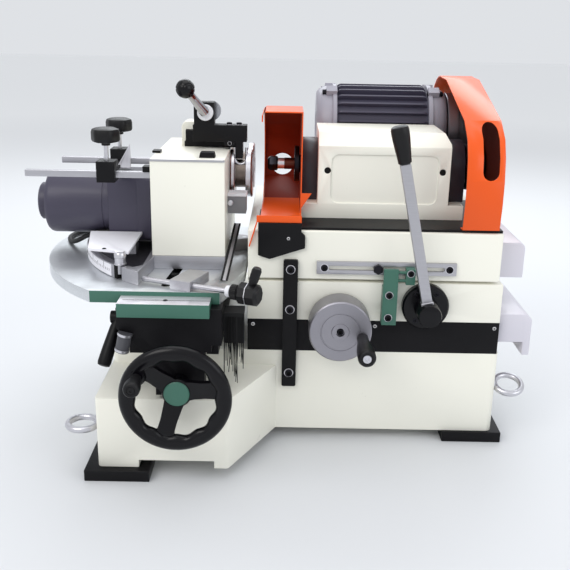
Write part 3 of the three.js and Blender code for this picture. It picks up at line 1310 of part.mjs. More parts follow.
function workHeadPieces() {
  const { cream, steel, motor: motorPaint, black } = paint;
  const armTop = head.top + arm.bottom + arm.height;
  const rearX = stop.left - stop.rearShift + stop.width / 2;
  return groupOf(
    meshOf('swivel_plate', swivelPlate(), steel),
    meshOf('head_housing', headHousing(), cream),
    meshOf('head_gearbox', headGearbox(), motorPaint),
    meshOf('head_motor', headMotor(), motorPaint),
    meshOf('motor_lead', motorLead(), black),
    meshOf('drive_roller', flangedRoller(), steel, [head.right, roller.y, roller.z]),
    meshOf('idle_roller', flangedRoller(), steel, [head.right, roller.y + roller.pitch, roller.z]),
    meshOf('hold_down_post', holdDownPost(), cream),
    meshOf('hold_down_arm', holdDownArm(), black, [arm.pivot.x, 0, head.top + arm.pivot.rise]),
    meshOf('hold_down_lever', holdDownLever(), steel, [cam.x, 0, armTop + cam.rise]),
    meshOf('front_rail', railBlock(rail.front, head.left - rail.frontLength, head.left + rail.depth - gap, 0), steel),
    meshOf('rear_rail', railBlock(rail.rear, head.left - rail.rearLength, head.left + rail.depth - gap, 0), steel),
    meshOf('end_stop_carriage', endStopCarriage(), black),
    meshOf('front_stop_knob', clampKnob(), black, [stop.left + stop.width / 2, rail.front, stopTop]),
    meshOf('rear_stop_knob', clampKnob(), black, [rearX, rail.rear, stopTop]),
  );
}

// The origin is moved to the middle of the whole machine's footprint, at the ground
const machine = groupOf(fixedPieces(), crossSlidePieces(), traversePieces(), workSidePieces(), workHeadPieces());
machine.updateMatrixWorld(true);
const extent = new THREE.Box3().setFromObject(machine, true);
const middlePoint = extent.getCenter(new THREE.Vector3());
machine.position.set(-middlePoint.x, -middlePoint.y, -extent.min.z);

const grinder = new THREE.Group();
grinder.name = 'cylindrical_grinder';
grinder.add(machine);
grinder.updateMatrixWorld(true);

export default grinder;
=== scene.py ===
"""The looks of a bench cylindrical grinder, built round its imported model.

Pieces are drawn in millimetres in the machine's own measure: X runs to the right from the plane that
its left and right places are measured from, Y to the back from the base's main front face, Z up.
"""

import json
import math

import bmesh
import bpy
from mathutils import Matrix, Vector


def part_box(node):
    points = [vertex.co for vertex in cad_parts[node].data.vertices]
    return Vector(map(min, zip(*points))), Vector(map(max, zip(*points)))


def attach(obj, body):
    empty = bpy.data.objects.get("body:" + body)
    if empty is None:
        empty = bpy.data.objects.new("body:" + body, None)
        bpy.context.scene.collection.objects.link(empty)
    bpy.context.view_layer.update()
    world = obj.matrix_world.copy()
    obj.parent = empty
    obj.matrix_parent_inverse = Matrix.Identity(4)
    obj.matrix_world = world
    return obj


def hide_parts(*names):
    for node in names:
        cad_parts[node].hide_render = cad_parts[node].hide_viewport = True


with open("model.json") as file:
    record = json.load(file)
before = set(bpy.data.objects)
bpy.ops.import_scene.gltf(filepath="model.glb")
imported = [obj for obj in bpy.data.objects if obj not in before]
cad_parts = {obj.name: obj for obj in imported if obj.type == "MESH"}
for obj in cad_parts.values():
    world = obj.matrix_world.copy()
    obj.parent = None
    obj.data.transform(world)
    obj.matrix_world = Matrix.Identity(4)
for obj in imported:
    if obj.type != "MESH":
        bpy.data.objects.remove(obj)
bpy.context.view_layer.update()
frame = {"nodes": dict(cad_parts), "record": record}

MM = 0.001
BASE_LEFT = -278
ORIGIN = Vector((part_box("base_casting")[0].x / MM - BASE_LEFT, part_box("cross_bed")[0].y / MM, 0))
BODY_OF = {node: body for body, nodes in frame["record"]["behaviour"]["bodies"].items() for node in nodes}
SLOT_OF = {row["node"]: row["material_slot"] for row in frame["record"]["subparts"]}

# Axes and levels that several pieces share
SPINDLE = (150, 436)
MOTOR = (292, 484)
CROSS_WHEEL = (87, 208)
CROSS_CRANK_PLACE = (121.77, 198.68)
LEVER = (222.5, 239)
LEVER_LEAN = 12.3
WORK_WHEEL = (-151, 158.7)
WORK_CRANK_PLACE = (-203, 192.47)
PIVOT = (-72, 134)
SWIVEL_TOP = 311
SECTOR_TOP = 290
ROLLER_Z = 421
HOUSING_TOP = 462.5


# Camera, stage and light

CAMERA_PLACE = (ORIGIN + Vector((0, -1240, 666))) * MM
CAMERA_PITCH = 17.8
CAMERA_ROLL = 0.0185
FOCAL_PIXELS = 824
PICTURE_PIXELS = 570
SENSOR = 36


def linked(name, data):
    """A new object of the scene that shows the data."""
    made = bpy.data.objects.new(name, data)
    bpy.context.scene.collection.objects.link(made)
    return made


def set_camera():
    data = bpy.data.cameras.new("camera")
    data.sensor_width = SENSOR
    data.lens = FOCAL_PIXELS / PICTURE_PIXELS * SENSOR
    camera = linked("camera", data)
    look = Matrix.Rotation(math.radians(90 - CAMERA_PITCH), 4, "X") @ Matrix.Rotation(CAMERA_ROLL, 4, "Z")
    camera.matrix_world = Matrix.Translation(CAMERA_PLACE) @ look
    bpy.context.scene.camera = camera


def add_lamp(name, place, size, power, colour=(1, 1, 1)):
    data = bpy.data.lights.new(name, "AREA")
    data.shape = "RECTANGLE"
    data.size, data.size_y = size
    data.energy = power
    data.color = colour
    lamp = linked(name, data)
    lamp.location = place
    aim = Vector((0, 0, 0.3)) - Vector(place)
    lamp.rotation_mode = "QUATERNION"
    lamp.rotation_quaternion = aim.to_track_quat("-Z", "Y")


# Shader maths and nodes


class Value:
    """A number or colour that changes over a surface, so that sums on it add their nodes."""

    def __init__(self, finish, socket):
        self.finish = finish
        self.socket = socket

    def maths(self, operation, *others):
        inputs = {i: value for i, value in enumerate((self, *others))}
        return self.finish.node("ShaderNodeMath", {"operation": operation}, inputs)

    def __add__(self, other):
        return self.maths("ADD", other)

    def __mul__(self, other):
        return self.maths("MULTIPLY", other)

    def __sub__(self, other):
        return self.maths("SUBTRACT", other)

    def __gt__(self, other):
        return self.maths("GREATER_THAN", other)

    def clipped(self, low, high):
        return self.maths("MAXIMUM", low).maths("MINIMUM", high)

    def between(self, start, end):
        """0 below start, 1 above end and a straight line between them."""
        return ((self - start) * (1 / (end - start))).clipped(0, 1)

    __radd__ = __add__


class Finish:
    """A procedural material, with the nodes that its surface needs."""

    def __init__(self, name, **even):
        self.material = bpy.data.materials.new(name)
        self.material.use_nodes = True
        self.tree = self.material.node_tree
        self.shader = self.tree.nodes["Principled BSDF"]
        for socket, value in even.items():
            self.shader.inputs[socket.replace("_", " ")].default_value = value
        self.place = self.node("ShaderNodeTexCoord", output="Object")

    def node(self, kind, settings=None, inputs=None, output=0):
        """Adds a node: its settings first, then the values or links of its sockets."""
        made = self.tree.nodes.new(kind)
        for name, value in (settings or {}).items():
            setattr(made, name, value)
        for name, value in (inputs or {}).items():
            if isinstance(value, Value):
                self.tree.links.new(value.socket, made.inputs[name])
            else:
                made.inputs[name].default_value = value
        return Value(self, made.outputs[output])

    def noise(self, scale, detail=2, roughness=0.5, place=None):
        inputs = {"Vector": place or self.place, "Scale": scale, "Detail": detail, "Roughness": roughness}
        return self.node("ShaderNodeTexNoise", None, inputs)

    def stretched(self, x, y, z):
        return self.node("ShaderNodeMapping", None, {"Vector": self.place, "Scale": (x, y, z)})

    def blended(self, share, first, second):
        """A colour between two, by a share that changes over the surface."""
        inputs = {0: share, 6: (*first, 1) if isinstance(first, tuple) else first,
                  7: (*second, 1) if isinstance(second, tuple) else second}
        return self.node("ShaderNodeMix", {"data_type": "RGBA"}, inputs, 2)

    def bump(self, height, distance, strength=1.0):
        inputs = {"Strength": strength, "Distance": distance, "Height": height}
        return self.node("ShaderNodeBump", None, inputs)

    def drive(self, **sockets):
        for name, value in sockets.items():
            self.tree.links.new(value.socket, self.shader.inputs[name.replace("_", " ")])
        return self


def linear(text):
    """A colour written in hex digits, as the shader's numbers."""
    shares = [int(text[i : i + 2], 16) / 255 for i in (0, 2, 4)]
    return tuple(s / 12.92 if s < 0.04045 else ((s + 0.055) / 1.055) ** 2.4 for s in shares)


def scaled(colour, share):
    """A colour made darker by a share below 1, or lighter by one above it."""
    return tuple(part * share for part in colour)


def enamel(name, text, rough, coat=0.0, grain=320, relief=0.00004, dirt=0.08, shine=0.45):
    """Sprayed machine paint: fine orange peel, faint cloudiness and a little handling dirt."""
    colour = linear(text)
    finish = Finish(name, Coat_Weight=coat, Coat_Roughness=0.12, Specular_IOR_Level=shine)
    clouds = finish.noise(9, 4)
    peel = finish.noise(grain, 2)
    specks = finish.noise(55, 5, 0.7) > 0.71
    stained = finish.blended(clouds.between(0.35, 0.75) * dirt, colour, scaled(colour, 0.78))
    tinted = finish.blended(specks * 0.25, stained, scaled(colour, 0.6))
    return finish.drive(
        Base_Color=tinted, Roughness=rough + clouds * 0.12 - 0.06, Normal=finish.bump(peel, relief)
    )


def casting(name, text, rough):
    """Rough cast iron under thin black paint."""
    colour = linear(text)
    finish = Finish(name, Specular_IOR_Level=0.18)
    coarse, fine = finish.noise(130, 6, 0.65), finish.noise(14, 3)
    tinted = finish.blended(fine.between(0.3, 0.8) * 0.5, colour, scaled(colour, 1.7))
    return finish.drive(
        Base_Color=tinted, Roughness=rough + coarse * 0.2 - 0.1, Normal=finish.bump(coarse, 0.0003)
    )


def steel(name, text, rough, grain=(30, 600, 600), relief=0.00002, metal=1.0):
    """Ground or turned metal: fine lines along one direction, with a cloudy film of oil."""
    colour = linear(text)
    finish = Finish(name, Metallic=metal)
    lines = finish.noise(1, 3, 0.6, finish.stretched(*grain))
    film = finish.noise(22, 4, 0.6)
    tinted = finish.blended((lines * 0.6 + film * 0.4).between(0.3, 0.7) * 0.35, colour, scaled(colour, 0.7))
    rough_all = (lines * 0.22 + film * 0.16) + (rough - 0.19)
    return finish.drive(Base_Color=tinted, Roughness=rough_all, Normal=finish.bump(lines, relief))


def turned_face(name, text, rough, centre):
    """Metal turned about an axis along Y through a centre, with the tool's rings on its faces."""
    colour = linear(text)
    finish = Finish(name, Metallic=1.0)
    middle = (ORIGIN + Vector((centre[0], 0, centre[1]))) * MM
    level = finish.node("ShaderNodeVectorMath", {"operation": "MULTIPLY"}, {0: finish.place, 1: (1, 0, 1)})
    ends = {0: level, 1: (middle.x, 0, middle.z)}
    spoke = finish.node("ShaderNodeVectorMath", {"operation": "DISTANCE"}, ends, 1)
    waves = {"W": spoke, "Scale": 1500, "Detail": 2}
    rings = finish.node("ShaderNodeTexNoise", {"noise_dimensions": "1D"}, waves)
    film = finish.noise(18, 4, 0.6)
    share = (rings * 0.5 + film * 0.5).between(0.3, 0.75) * 0.35
    tinted = finish.blended(share, colour, scaled(colour, 0.72))
    rough_all = rings * 0.2 + film * 0.15 + (rough - 0.17)
    return finish.drive(Base_Color=tinted, Roughness=rough_all, Normal=finish.bump(rings, 0.00003))


def moulded(name, text, rough, scale=420, relief=0.00006):
    """Moulded plastic or rubber with a fine grain, paler where hands have rubbed it."""
    colour = linear(text)
    finish = Finish(name, Specular_IOR_Level=0.28)
    grain, rub = finish.noise(scale, 3), finish.noise(30, 4, 0.6)
    rubbed = tuple(0.008 + part * 1.6 for part in colour)
    tinted = finish.blended(rub.between(0.45, 0.8) * 0.3, colour, rubbed)
    return finish.drive(
        Base_Color=tinted, Roughness=rough + rub * 0.16 - 0.08, Normal=finish.bump(grain, relief)
    )


FINISHES = {
    "cream_paint": enamel("cream_enamel", "f1efe3", 0.38, 0.15),
    "orange_paint": enamel("orange_enamel", "e8560a", 0.36, 0.15, 260, 0.00003, 0.12, 0.35),
    "green_paint": enamel("green_enamel", "3a6a5a", 0.42, 0.1, 300, 0.00004, 0.2),
    "motor_paint": enamel("motor_enamel", "444151", 0.42, 0.05, 300, 0.00005, 0.3, 0.35),
    "black_paint": enamel("black_enamel", "0b0a0d", 0.42, 0, 260, 0.00005, 0.3, 0.2),
    "black_casting": casting("black_cast_iron", "0c0b0e", 0.5),
    "black_plastic": moulded("black_plastic", "0f0e10", 0.4),
    "gloss_black": enamel("gloss_black_enamel", "07060a", 0.26, 0.12, 200, 0.00002, 0.2, 0.2),
    "grey_paint": enamel("grey_sheet_enamel", "d4d1da", 0.36, 0.15),
    "ground_steel": steel("ground_steel", "bdbcc1", 0.4),
    "aluminium": turned_face("turned_aluminium", "a09ea5", 0.42, CROSS_WHEEL),
    "blackened_steel": steel("blackened_steel", "4b4a52", 0.36),
    "rubber": moulded("black_rubber", "161617", 0.7, 260, 0.00012),
    "cord_sheath": moulded("cable_sheath", "141415", 0.5),
}
BRIGHT = steel("polished_steel", "d6d5da", 0.34, (300, 300, 300), 0.00001)
SOCKET = steel("oiled_screw_steel", "2c2b30", 0.34, (200, 200, 200))
ZINC = steel("zinc_plated_screw", "d2d0cd", 0.3, (200, 200, 200))
WHITE_RING = moulded("white_collar", "dcdce0", 0.35)
MOTOR_BELL = enamel("motor_bell_enamel", "96949f", 0.4, 0.05, 300, 0.00005, 0.3)
# Painted shade: near-black for holes, slots and screw sockets, where only shade is seen
HOLE_PAINTED_SHADE = moulded("hole_painted_shade", "050505", 0.8)
COVER_BLACK = enamel("bearing_cover_black", "2f2d36", 0.4, 0, 300, 0.00005, 0.3)
# Painted shade: a dark copy of the orange enamel for the inner face of the belt guard's right wall
BELT_GUARD_PAINTED_SHADE = enamel("belt_guard_painted_shade", "4a1408", 0.6, 0, 260, 0.00003, 0.3, 0.15)
# Painted shade: a darker copy of the orange enamel for the wheel guard's inner faces
GUARD_PAINTED_SHADE = enamel("orange_enamel_painted_shade", "8e2507", 0.5, 0, 260, 0.00003, 0.3, 0.2)
SCALE_PAINT = enamel("scale_white", "eeedf3", 0.36, 0, 300, 0.00001, 0.1)
LEVER_STEEL = steel("oiled_lever_steel", "a9a9ae", 0.2, (200, 200, 200), 0.00001)
PLATE_STEEL = steel("sector_plate_steel", "dfe2e5", 0.45, (60, 400, 400))
LOCK_GREY = enamel("lock_post_grey", "4c4c51", 0.5, 0, 300, 0.00004, 0.3)
SLEEVE = steel("bronze_sleeve", "5f352b", 0.4, (200, 200, 200), 0.00001)
GROOVE = steel("worn_groove_steel", "7b7069", 0.4, (200, 200, 600), 0.00002)
REST_GREY = enamel("rest_block_grey", "77777a", 0.45, 0, 300, 0.00004, 0.3)
ENGRAVED = moulded("engraved_black", "1c1c22", 0.6)
SCALE_WHITE = steel("scale_face", "e6e4ea", 0.36, (400, 400, 30), 0.00001, 0.6)
# Painted shade: a darker copy of the ground steel for the swivel plate's recess floor
RECESS_PAINTED_SHADE = steel("recess_painted_shade", "6c6a72", 0.42, (90, 90, 90), 0.00004)


# Forms


def full_turn(steps):
    """Angles evenly round a circle, in radians."""
    return [2 * math.pi * k / steps for k in range(steps)]


def onto(along, a, b, t):
    """A point that lies (a, b) across an axis and t along it, in the order X, Y, Z."""
    return {"x": (t, a, b), "y": (a, t, b), "z": (a, b, t)}[along]


def standing(place, degrees, axis):
    """A turn about one axis, followed by a shift to a place."""
    return Matrix.Translation(place) @ Matrix.Rotation(math.radians(degrees), 4, axis)


class Form:
    """Faces gathered for one piece."""

    def __init__(self):
        self.points = []
        self.faces = []
        self.paints = []
        self.paint = 0

    def add(self, points, faces):
        start = len(self.points)
        self.points += [Vector(p) for p in points]
        self.faces += [tuple(start + i for i in face) for face in faces]
        self.paints += [self.paint] * len(faces)
        return self

    def join(self, other):
        return self.add(other.points, other.faces)

    def using(self, paint):
        """Faces from here on take the piece's finish of that number."""
        self.paint = paint
        return self

    def shell(self, rings, closed=False):
        """Skins a row of rings, with a face over each end unless the row closes on itself."""
        count, total = len(rings[0]), len(rings)
        points = [p for ring in rings for p in ring]
        faces = []
        for i in range(total if closed else total - 1):
            here, there = i * count, (i + 1) % total * count
            faces += [(here + k, here + (k + 1) % count, there + (k + 1) % count, there + k)
                      for k in range(count)]
        if not closed:
            faces += [tuple(range(count)), tuple((total - 1) * count + k for k in range(count))]
        return self.add(points, faces)

    def prism(self, outline, along, start, end):
        return self.shell([[onto(along, a, b, t) for a, b in outline] for t in (start, end)])

    def block(self, x, y, z):
        return self.prism([(x[0], y[0]), (x[1], y[0]), (x[1], y[1]), (x[0], y[1])], "z", *z)

    def turned(self, profile, along, centre, steps=72):
        """Turns (radius, distance along the axis) points about an axis through a centre."""
        a0, b0 = centre
        spokes = [(math.cos(a), math.sin(a)) for a in full_turn(steps)]
        return self.shell([[onto(along, a0 + r * c, b0 + r * s, t) for c, s in spokes] for r, t in profile])

    def rod(self, along, centre, radius, start, end, steps=40, edge=0.0):
        """A straight rod whose ends are chamfered by edge."""
        profile = [(radius - edge, start), (radius, start + edge), (radius, end - edge), (radius - edge, end)]
        return self.turned(profile if edge else [(radius, start), (radius, end)], along, centre, steps)

    def tube(self, line, radius, steps=16):
        """A round bar along a line of points; radius may be one value or one for each point."""
        line = [Vector(p) for p in line]
        radii = radius if isinstance(radius, (list, tuple)) else [radius] * len(line)
        rings, side = [], None
        for i, point in enumerate(line):
            ahead = (line[min(i + 1, len(line) - 1)] - line[max(i - 1, 0)]).normalized()
            side = ahead.orthogonal() if side is None else side - ahead * side.dot(ahead)
            side.normalize()
            up = ahead.cross(side)
            spokes = [side * math.cos(a) + up * math.sin(a) for a in full_turn(steps)]
            rings.append([point + spoke * radii[i] for spoke in spokes])
        return self.shell(rings)

    def hoop(self, centre, radius, wire, turn):
        """A closed ring of round wire, level until turn tips it."""
        rings = []
        for a in full_turn(64):
            ring = []
            for b in full_turn(20):
                reach = radius + wire * math.cos(b)
                spot = Vector((reach * math.cos(a), reach * math.sin(a), wire * math.sin(b)))
                ring.append(Vector(centre) + turn @ spot)
            rings.append(ring)
        return self.shell(rings, closed=True)

    def moved(self, matrix):
        self.points = [matrix @ p for p in self.points]
        return self

    def piece(self, name, body, *finishes, slot=None, stands_for=(), edge=0.0, crease=32):
        """Makes the object on its body, with rounded edges. The slot argument is not used."""
        mesh = bpy.data.meshes.new(name)
        mesh.from_pydata([(ORIGIN + p) * MM for p in self.points], [], self.faces)
        mesh.polygons.foreach_set("material_index", self.paints)
        tidy = bmesh.new()
        tidy.from_mesh(mesh)
        bmesh.ops.recalc_face_normals(tidy, faces=tidy.faces)
        tidy.to_mesh(mesh)
        tidy.free()
        return finished(name, mesh, body, finishes, stands_for, edge, crease)


def finished(name, mesh, body, finishes, stands_for, edge, crease=32):
    for finish in finishes:
        made = FINISHES[finish] if isinstance(finish, str) else finish
        mesh.materials.append(made.material)
    mesh.shade_smooth()
    piece = linked(name, mesh)
    if edge:
        bevel = piece.modifiers.new("edges", "BEVEL")
        bevel.limit_method = "ANGLE"
        bevel.angle_limit = math.radians(crease)
        bevel.width = edge * MM
        bevel.segments = 2
        bevel.harden_normals = True
    else:
        mesh.set_sharp_from_angle(angle=math.radians(crease))
    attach(piece, body)
    if stands_for:
        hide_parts(*stands_for)
    return piece


def dressed(node, edge, accents=(), finish=None):
    """The node's own shape with rounded edges. Accents give faces that pass a test another finish."""
    tidy = bmesh.new()
    tidy.from_mesh(frame["nodes"][node].data)
    bmesh.ops.remove_doubles(tidy, verts=tidy.verts, dist=1e-6)
    bmesh.ops.dissolve_limit(tidy, angle_limit=math.radians(0.4), verts=tidy.verts, edges=tidy.edges)
    bmesh.ops.recalc_face_normals(tidy, faces=tidy.faces)
    for face in tidy.faces:
        face.material_index = 0
        place = face.calc_center_median() / MM - ORIGIN
        for number, (test, _) in enumerate(accents, 1):
            if test(face.normal, place):
                face.material_index = number
    name = node + "_finished"
    mesh = bpy.data.meshes.new(name)
    tidy.to_mesh(mesh)
    tidy.free()
    finishes = [finish or SLOT_OF[node], *(made for _, made in accents)]
    return finished(name, mesh, BODY_OF[node], finishes, (node,), edge)


def arc(centre, radius, start, end, steps):
    """Points of an arc in degrees."""
    angles = [math.radians(start + (end - start) * i / steps) for i in range(steps + 1)]
    return [(centre[0] + radius * math.cos(a), centre[1] + radius * math.sin(a)) for a in angles]


SCREW_STEPS = 28


def socket_screws(name, body, places, along, radius, height, head=SOCKET, ring=SCALE_WHITE, outward=-1):
    """Cap screws that stand on faces across one axis, each with a hexagon socket and a pale washer edge."""
    form = Form()
    for place in places:
        centre = [value for axis, value in zip("xyz", place) if axis != along]
        face = place["xyz".index(along)]
        tip = face + outward * height
        floor = face + outward * height * 0.35
        washer = [(radius * 1.18, face), (radius * 1.18, face + outward * height * 0.18)]
        form.using(1).turned(washer, along, centre, SCREW_STEPS)
        form.using(0).turned([
            (radius, face), (radius, tip - outward * radius * 0.16), (radius * 0.86, tip),
            (radius * 0.56, tip), (radius * 0.5, floor),
        ], along, centre, SCREW_STEPS)
        # The socket's floor is near-black, painted shade in the hole
        socket = [(radius * 0.52, floor), (radius * 0.4, floor + outward * 0.1)]
        form.using(2).turned(socket, along, centre, 6)
    return form.piece(name, body, head, ring, HOLE_PAINTED_SHADE, slot="ground_steel")


# Lead of the work head's motor

LEAD_DIAMETER = 8
LEAD_GLAND = [(8.5, 0), (8.5, -4), (6.8, -5), (6.4, -12), (5.2, -22), (4.2, -22)]
LEAD_ROUTE = [
    (-292.3, 92, 324), (-306, 92, 324), (-320, 95, 321), (-335, 102, 315.5), (-350, 113, 306),
    (-364, 130, 298), (-375, 150, 294.6), (-381, 172, 294.4), (-379, 194, 294.4), (-369, 214, 294.4),
    (-352, 229, 294.4), (-332, 238, 294.4), (-312, 241, 295), (-294, 241, 299), (-277, 241, 307),
    (-262, 241, 316), (-248, 241, 324), (-234, 241, 329), (-222, 241, 330), (-209.3, 241, 330),
]


def smooth_line(points, steps=4):
    """A line that passes smoothly through the points."""
    points = [Vector(p) for p in points]
    line = []
    for i in range(len(points) - 1):
        before, here = points[max(i - 1, 0)], points[i]
        there, after = points[i + 1], points[min(i + 2, len(points) - 1)]
        for k in range(steps):
            t = k / steps
            square = (2 * before - 5 * here + 4 * there - after) * t * t
            cube = (3 * here - before - 3 * there + after) * t ** 3
            line.append(0.5 * (2 * here + (there - before) * t + square + cube))
    return [*line, points[-1]]


def motor_lead():
    line = [(ORIGIN + p) * MM for p in smooth_line(LEAD_ROUTE)]
    curve = bpy.data.curves.new("motor_lead_line", "CURVE")
    curve.dimensions = "3D"
    curve.bevel_depth = LEAD_DIAMETER / 2 * MM
    curve.bevel_resolution = 4
    curve.use_fill_caps = True
    spline = curve.splines.new("POLY")
    spline.points.add(len(line) - 1)
    for point, place in zip(spline.points, line):
        point.co = (*place, 1)
    curve.materials.append(FINISHES["cord_sheath"].material)
    lead = linked("motor_lead_cable", curve)
    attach(lead, "work_head")
    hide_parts("motor_lead")
    length = sum((b - a).length for a, b in zip(line, line[1:]))
    for name, (x, *centre) in (("front", LEAD_ROUTE[0]), ("rear", LEAD_ROUTE[-1])):
        gland = [(r, x + t) for r, t in LEAD_GLAND]
        Form().turned(gland, "x", centre, 32).piece(f"lead_gland_{name}", "work_head", "black_plastic")


# Fixed pieces

EYE_RING, EYE_WIRE, EYE_COLLAR, EYE_REACH = 22, 5, 9, 26
EYES = {"left_eye_bolt": (-278, -110, 76, -1, 0), "right_eye_bolt": (349, 22, 94, 1, 20)}


def base_and_beds():
    dressed("base_casting", 3.0)
    for pad in ("front_left_pad", "front_right_pad", "rear_left_pad", "rear_right_pad"):
        dressed(pad, 1.2)
    dressed("cross_bed", 0.8)
    dressed("work_bed", 0.8)
    for node, (x, y, z, outward, tip) in EYES.items():
        turn = Matrix.Rotation(math.radians(tip), 3, "X")
        Form().hoop((x + outward * EYE_REACH, y, z), EYE_RING, EYE_WIRE, turn).turned([
            (EYE_COLLAR, x + outward * 0.3), (EYE_COLLAR, x + outward * 3),
            (EYE_COLLAR * 0.7, x + outward * 4), (5, x + outward * 5), (4.5, x + outward * 7),
        ], "x", (y, z), 40).piece(node + "_ring", "root", BRIGHT, slot="ground_steel", stands_for=(node,))
    band_screws = [(-50.2, 0, 201.5), (145.5, 0, 201.2), (337.3, 0, 200.7)]
    socket_screws("bed_band_screws", "root", band_screws, "y", 2.6, 1.4, head=ZINC)


# Cross slide and its feed

DRUM_RADIUS, DRUM_FRONT, DRUM_BACK = 49, -48.2, -2.2


def cross_slide():
    dressed("middle_slide", 2.0)
    dressed("stop_bracket", 0.6)
    dressed("right_lower_cover", 1.4)
    dressed("transport_strap", 0.8)
    strap_screws = [(8.5, -8.3, z) for z in (296, 229.8, 121.2)]
    socket_screws("strap_screws", "cross_slide", strap_screws, "y", 6.2, 4)
    bracket_screws = [(163, -19.8, z) for z in (260.2, 223)]
    socket_screws("bracket_screws", "cross_slide", bracket_screws, "y", 5.4, 3.6)


def cross_wheel():
    front, back = DRUM_FRONT, DRUM_BACK
    Form().turned([
        (44, back), (DRUM_RADIUS - 1.5, back), (DRUM_RADIUS, back - 1.5), (DRUM_RADIUS, front + 2),
        (DRUM_RADIUS - 2, front), (31.4, front), (31, front + 0.9), (29.6, front + 0.9), (29.2, front + 0.2),
        (14, front + 0.2), (13.2, front - 1.4), (7, front - 1.4), (6.6, front + 4), (3.5, front + 4),
    ], "y", CROSS_WHEEL, 128).piece("cross_drum", "cross_wheel", "aluminium",
                                    stands_for=("cross_handwheel",), crease=28)
    x, z = CROSS_WHEEL
    socket_screws("cross_wheel_screw", "cross_wheel", [(x, front + 3.9, z)], "y", 5.6, 4)
    dressed("cross_leadscrew", 0)


def crank_handle(name, node, body, centre, face, length, root, end, cap):
    """A revolving handle that swells towards its end, with the head of its pin in the end face."""
    tip = face - length
    swell = [(root + (end - root) * (1 - math.cos(math.pi * k / 10)) / 2, face - length * (0.1 + 0.06 * k))
             for k in range(11)]
    form = Form().turned([
        (root * 0.8, face), (root, face - 1.5), (root, face - length * 0.05), *swell,
        (end, tip + end * 0.35), (end * 0.93, tip + end * 0.12), (end * 0.8, tip),
        (end * 0.52, tip), (end * 0.5, tip + 1.5),
    ], "y", centre, 64)
    pin = [(end * 0.5, tip + 1.4), (end * 0.46, tip + 0.3), (end * 0.2, tip), (end * 0.16, tip + 1)]
    form.using(1).turned(pin, "y", centre, 36)
    form.piece(name, body, "black_plastic", cap, stands_for=(node,))


HUB_FACE, DISC_BACK, BOSS_FRONT = -13.8, -0.1, -59.8
BAR_HALF, BAR_FRONT, BAR_BACK = 8, -46, -34
GRIP_LOW = 236.3
GRIP_PROFILE = [
    (8, 0), (10, 1.5), (10.4, 8), (11.6, 20), (12.9, 34), (13.5, 44), (13.4, 50), (12.2, 54), (9.5, 55.6),
    (4, 56),
]


def hand_lever():
    x, z = LEVER
    Form().turned([
        (9, DISC_BACK), (37, DISC_BACK), (37, HUB_FACE + 3), (34.5, HUB_FACE), (18.5, HUB_FACE),
        (18, HUB_FACE - 0.8), (18, BOSS_FRONT + 3.5), (17, BOSS_FRONT + 1), (14.5, BOSS_FRONT),
        (2, BOSS_FRONT),
    ], "y", LEVER, 96).piece("lever_boss", "hand_lever", "gloss_black", stands_for=("lever_hub",))
    flange_screws = [(x + 27 * math.cos(math.radians(a)), HUB_FACE, z + 27 * math.sin(math.radians(a)))
                     for a in (55, 125, 235, 305)]
    socket_screws("lever_flange_screws", "hand_lever", flange_screws, "y", 3.4, 1.2, ring=SOCKET)
    place = standing((x, 0, z), -LEVER_LEAN, "Y")
    bar = Form().block((-BAR_HALF, BAR_HALF), (BAR_FRONT, BAR_BACK), (-6, GRIP_LOW - 0.3)).moved(place)
    bar.piece("lever_flat_bar", "hand_lever", "ground_steel", stands_for=("lever_bar",), edge=1.2)
    collar_half = BAR_HALF + 1.6
    collar = Form().block((-collar_half, collar_half), (BAR_FRONT - 1.6, BAR_BACK + 0.5), (14.5, 19.5))
    collar.moved(place).piece("lever_collar", "hand_lever", BRIGHT, slot="ground_steel", edge=1)
    grip_points = [(r, GRIP_LOW + t) for r, t in GRIP_PROFILE]
    grip = Form().turned(grip_points, "z", (0, (BAR_FRONT + BAR_BACK) / 2), 64)
    grip.moved(place).piece("lever_hand_grip", "hand_lever", "black_plastic", stands_for=("lever_grip",))


# Traverse slide: slot bar, spindle, guards and motor

PORT_HOLES = ((65, 438), (249.5, 437))


def traverse_slide():
    dressed("upper_slide", 2.0)
    dressed("right_upper_cover", 1.2)
    dressed("spindle_base_plate", 0.5)
    dressed("slot_bar", 0.4, [(lambda _, place: place.y < -6, SOCKET)])
    dressed("stroke_stop_block", 0.6)
    bar_screws = [(61, -5.5, 299), (257, -5.5, 299)]
    socket_screws("slot_bar_screws", "traverse_slide", bar_screws, "y", 5.6, 2.2)
    socket_screws("stroke_stop_screw", "stroke_stop", [(194.7, -20.3, 296)], "y", 5, 2.4)
    dressed("guard_bracket", 0.8)
    socket_screws("guard_bracket_screw", "traverse_slide", [(4, -5.5, 345)], "y", 2.2, 1.2, head=ZINC)


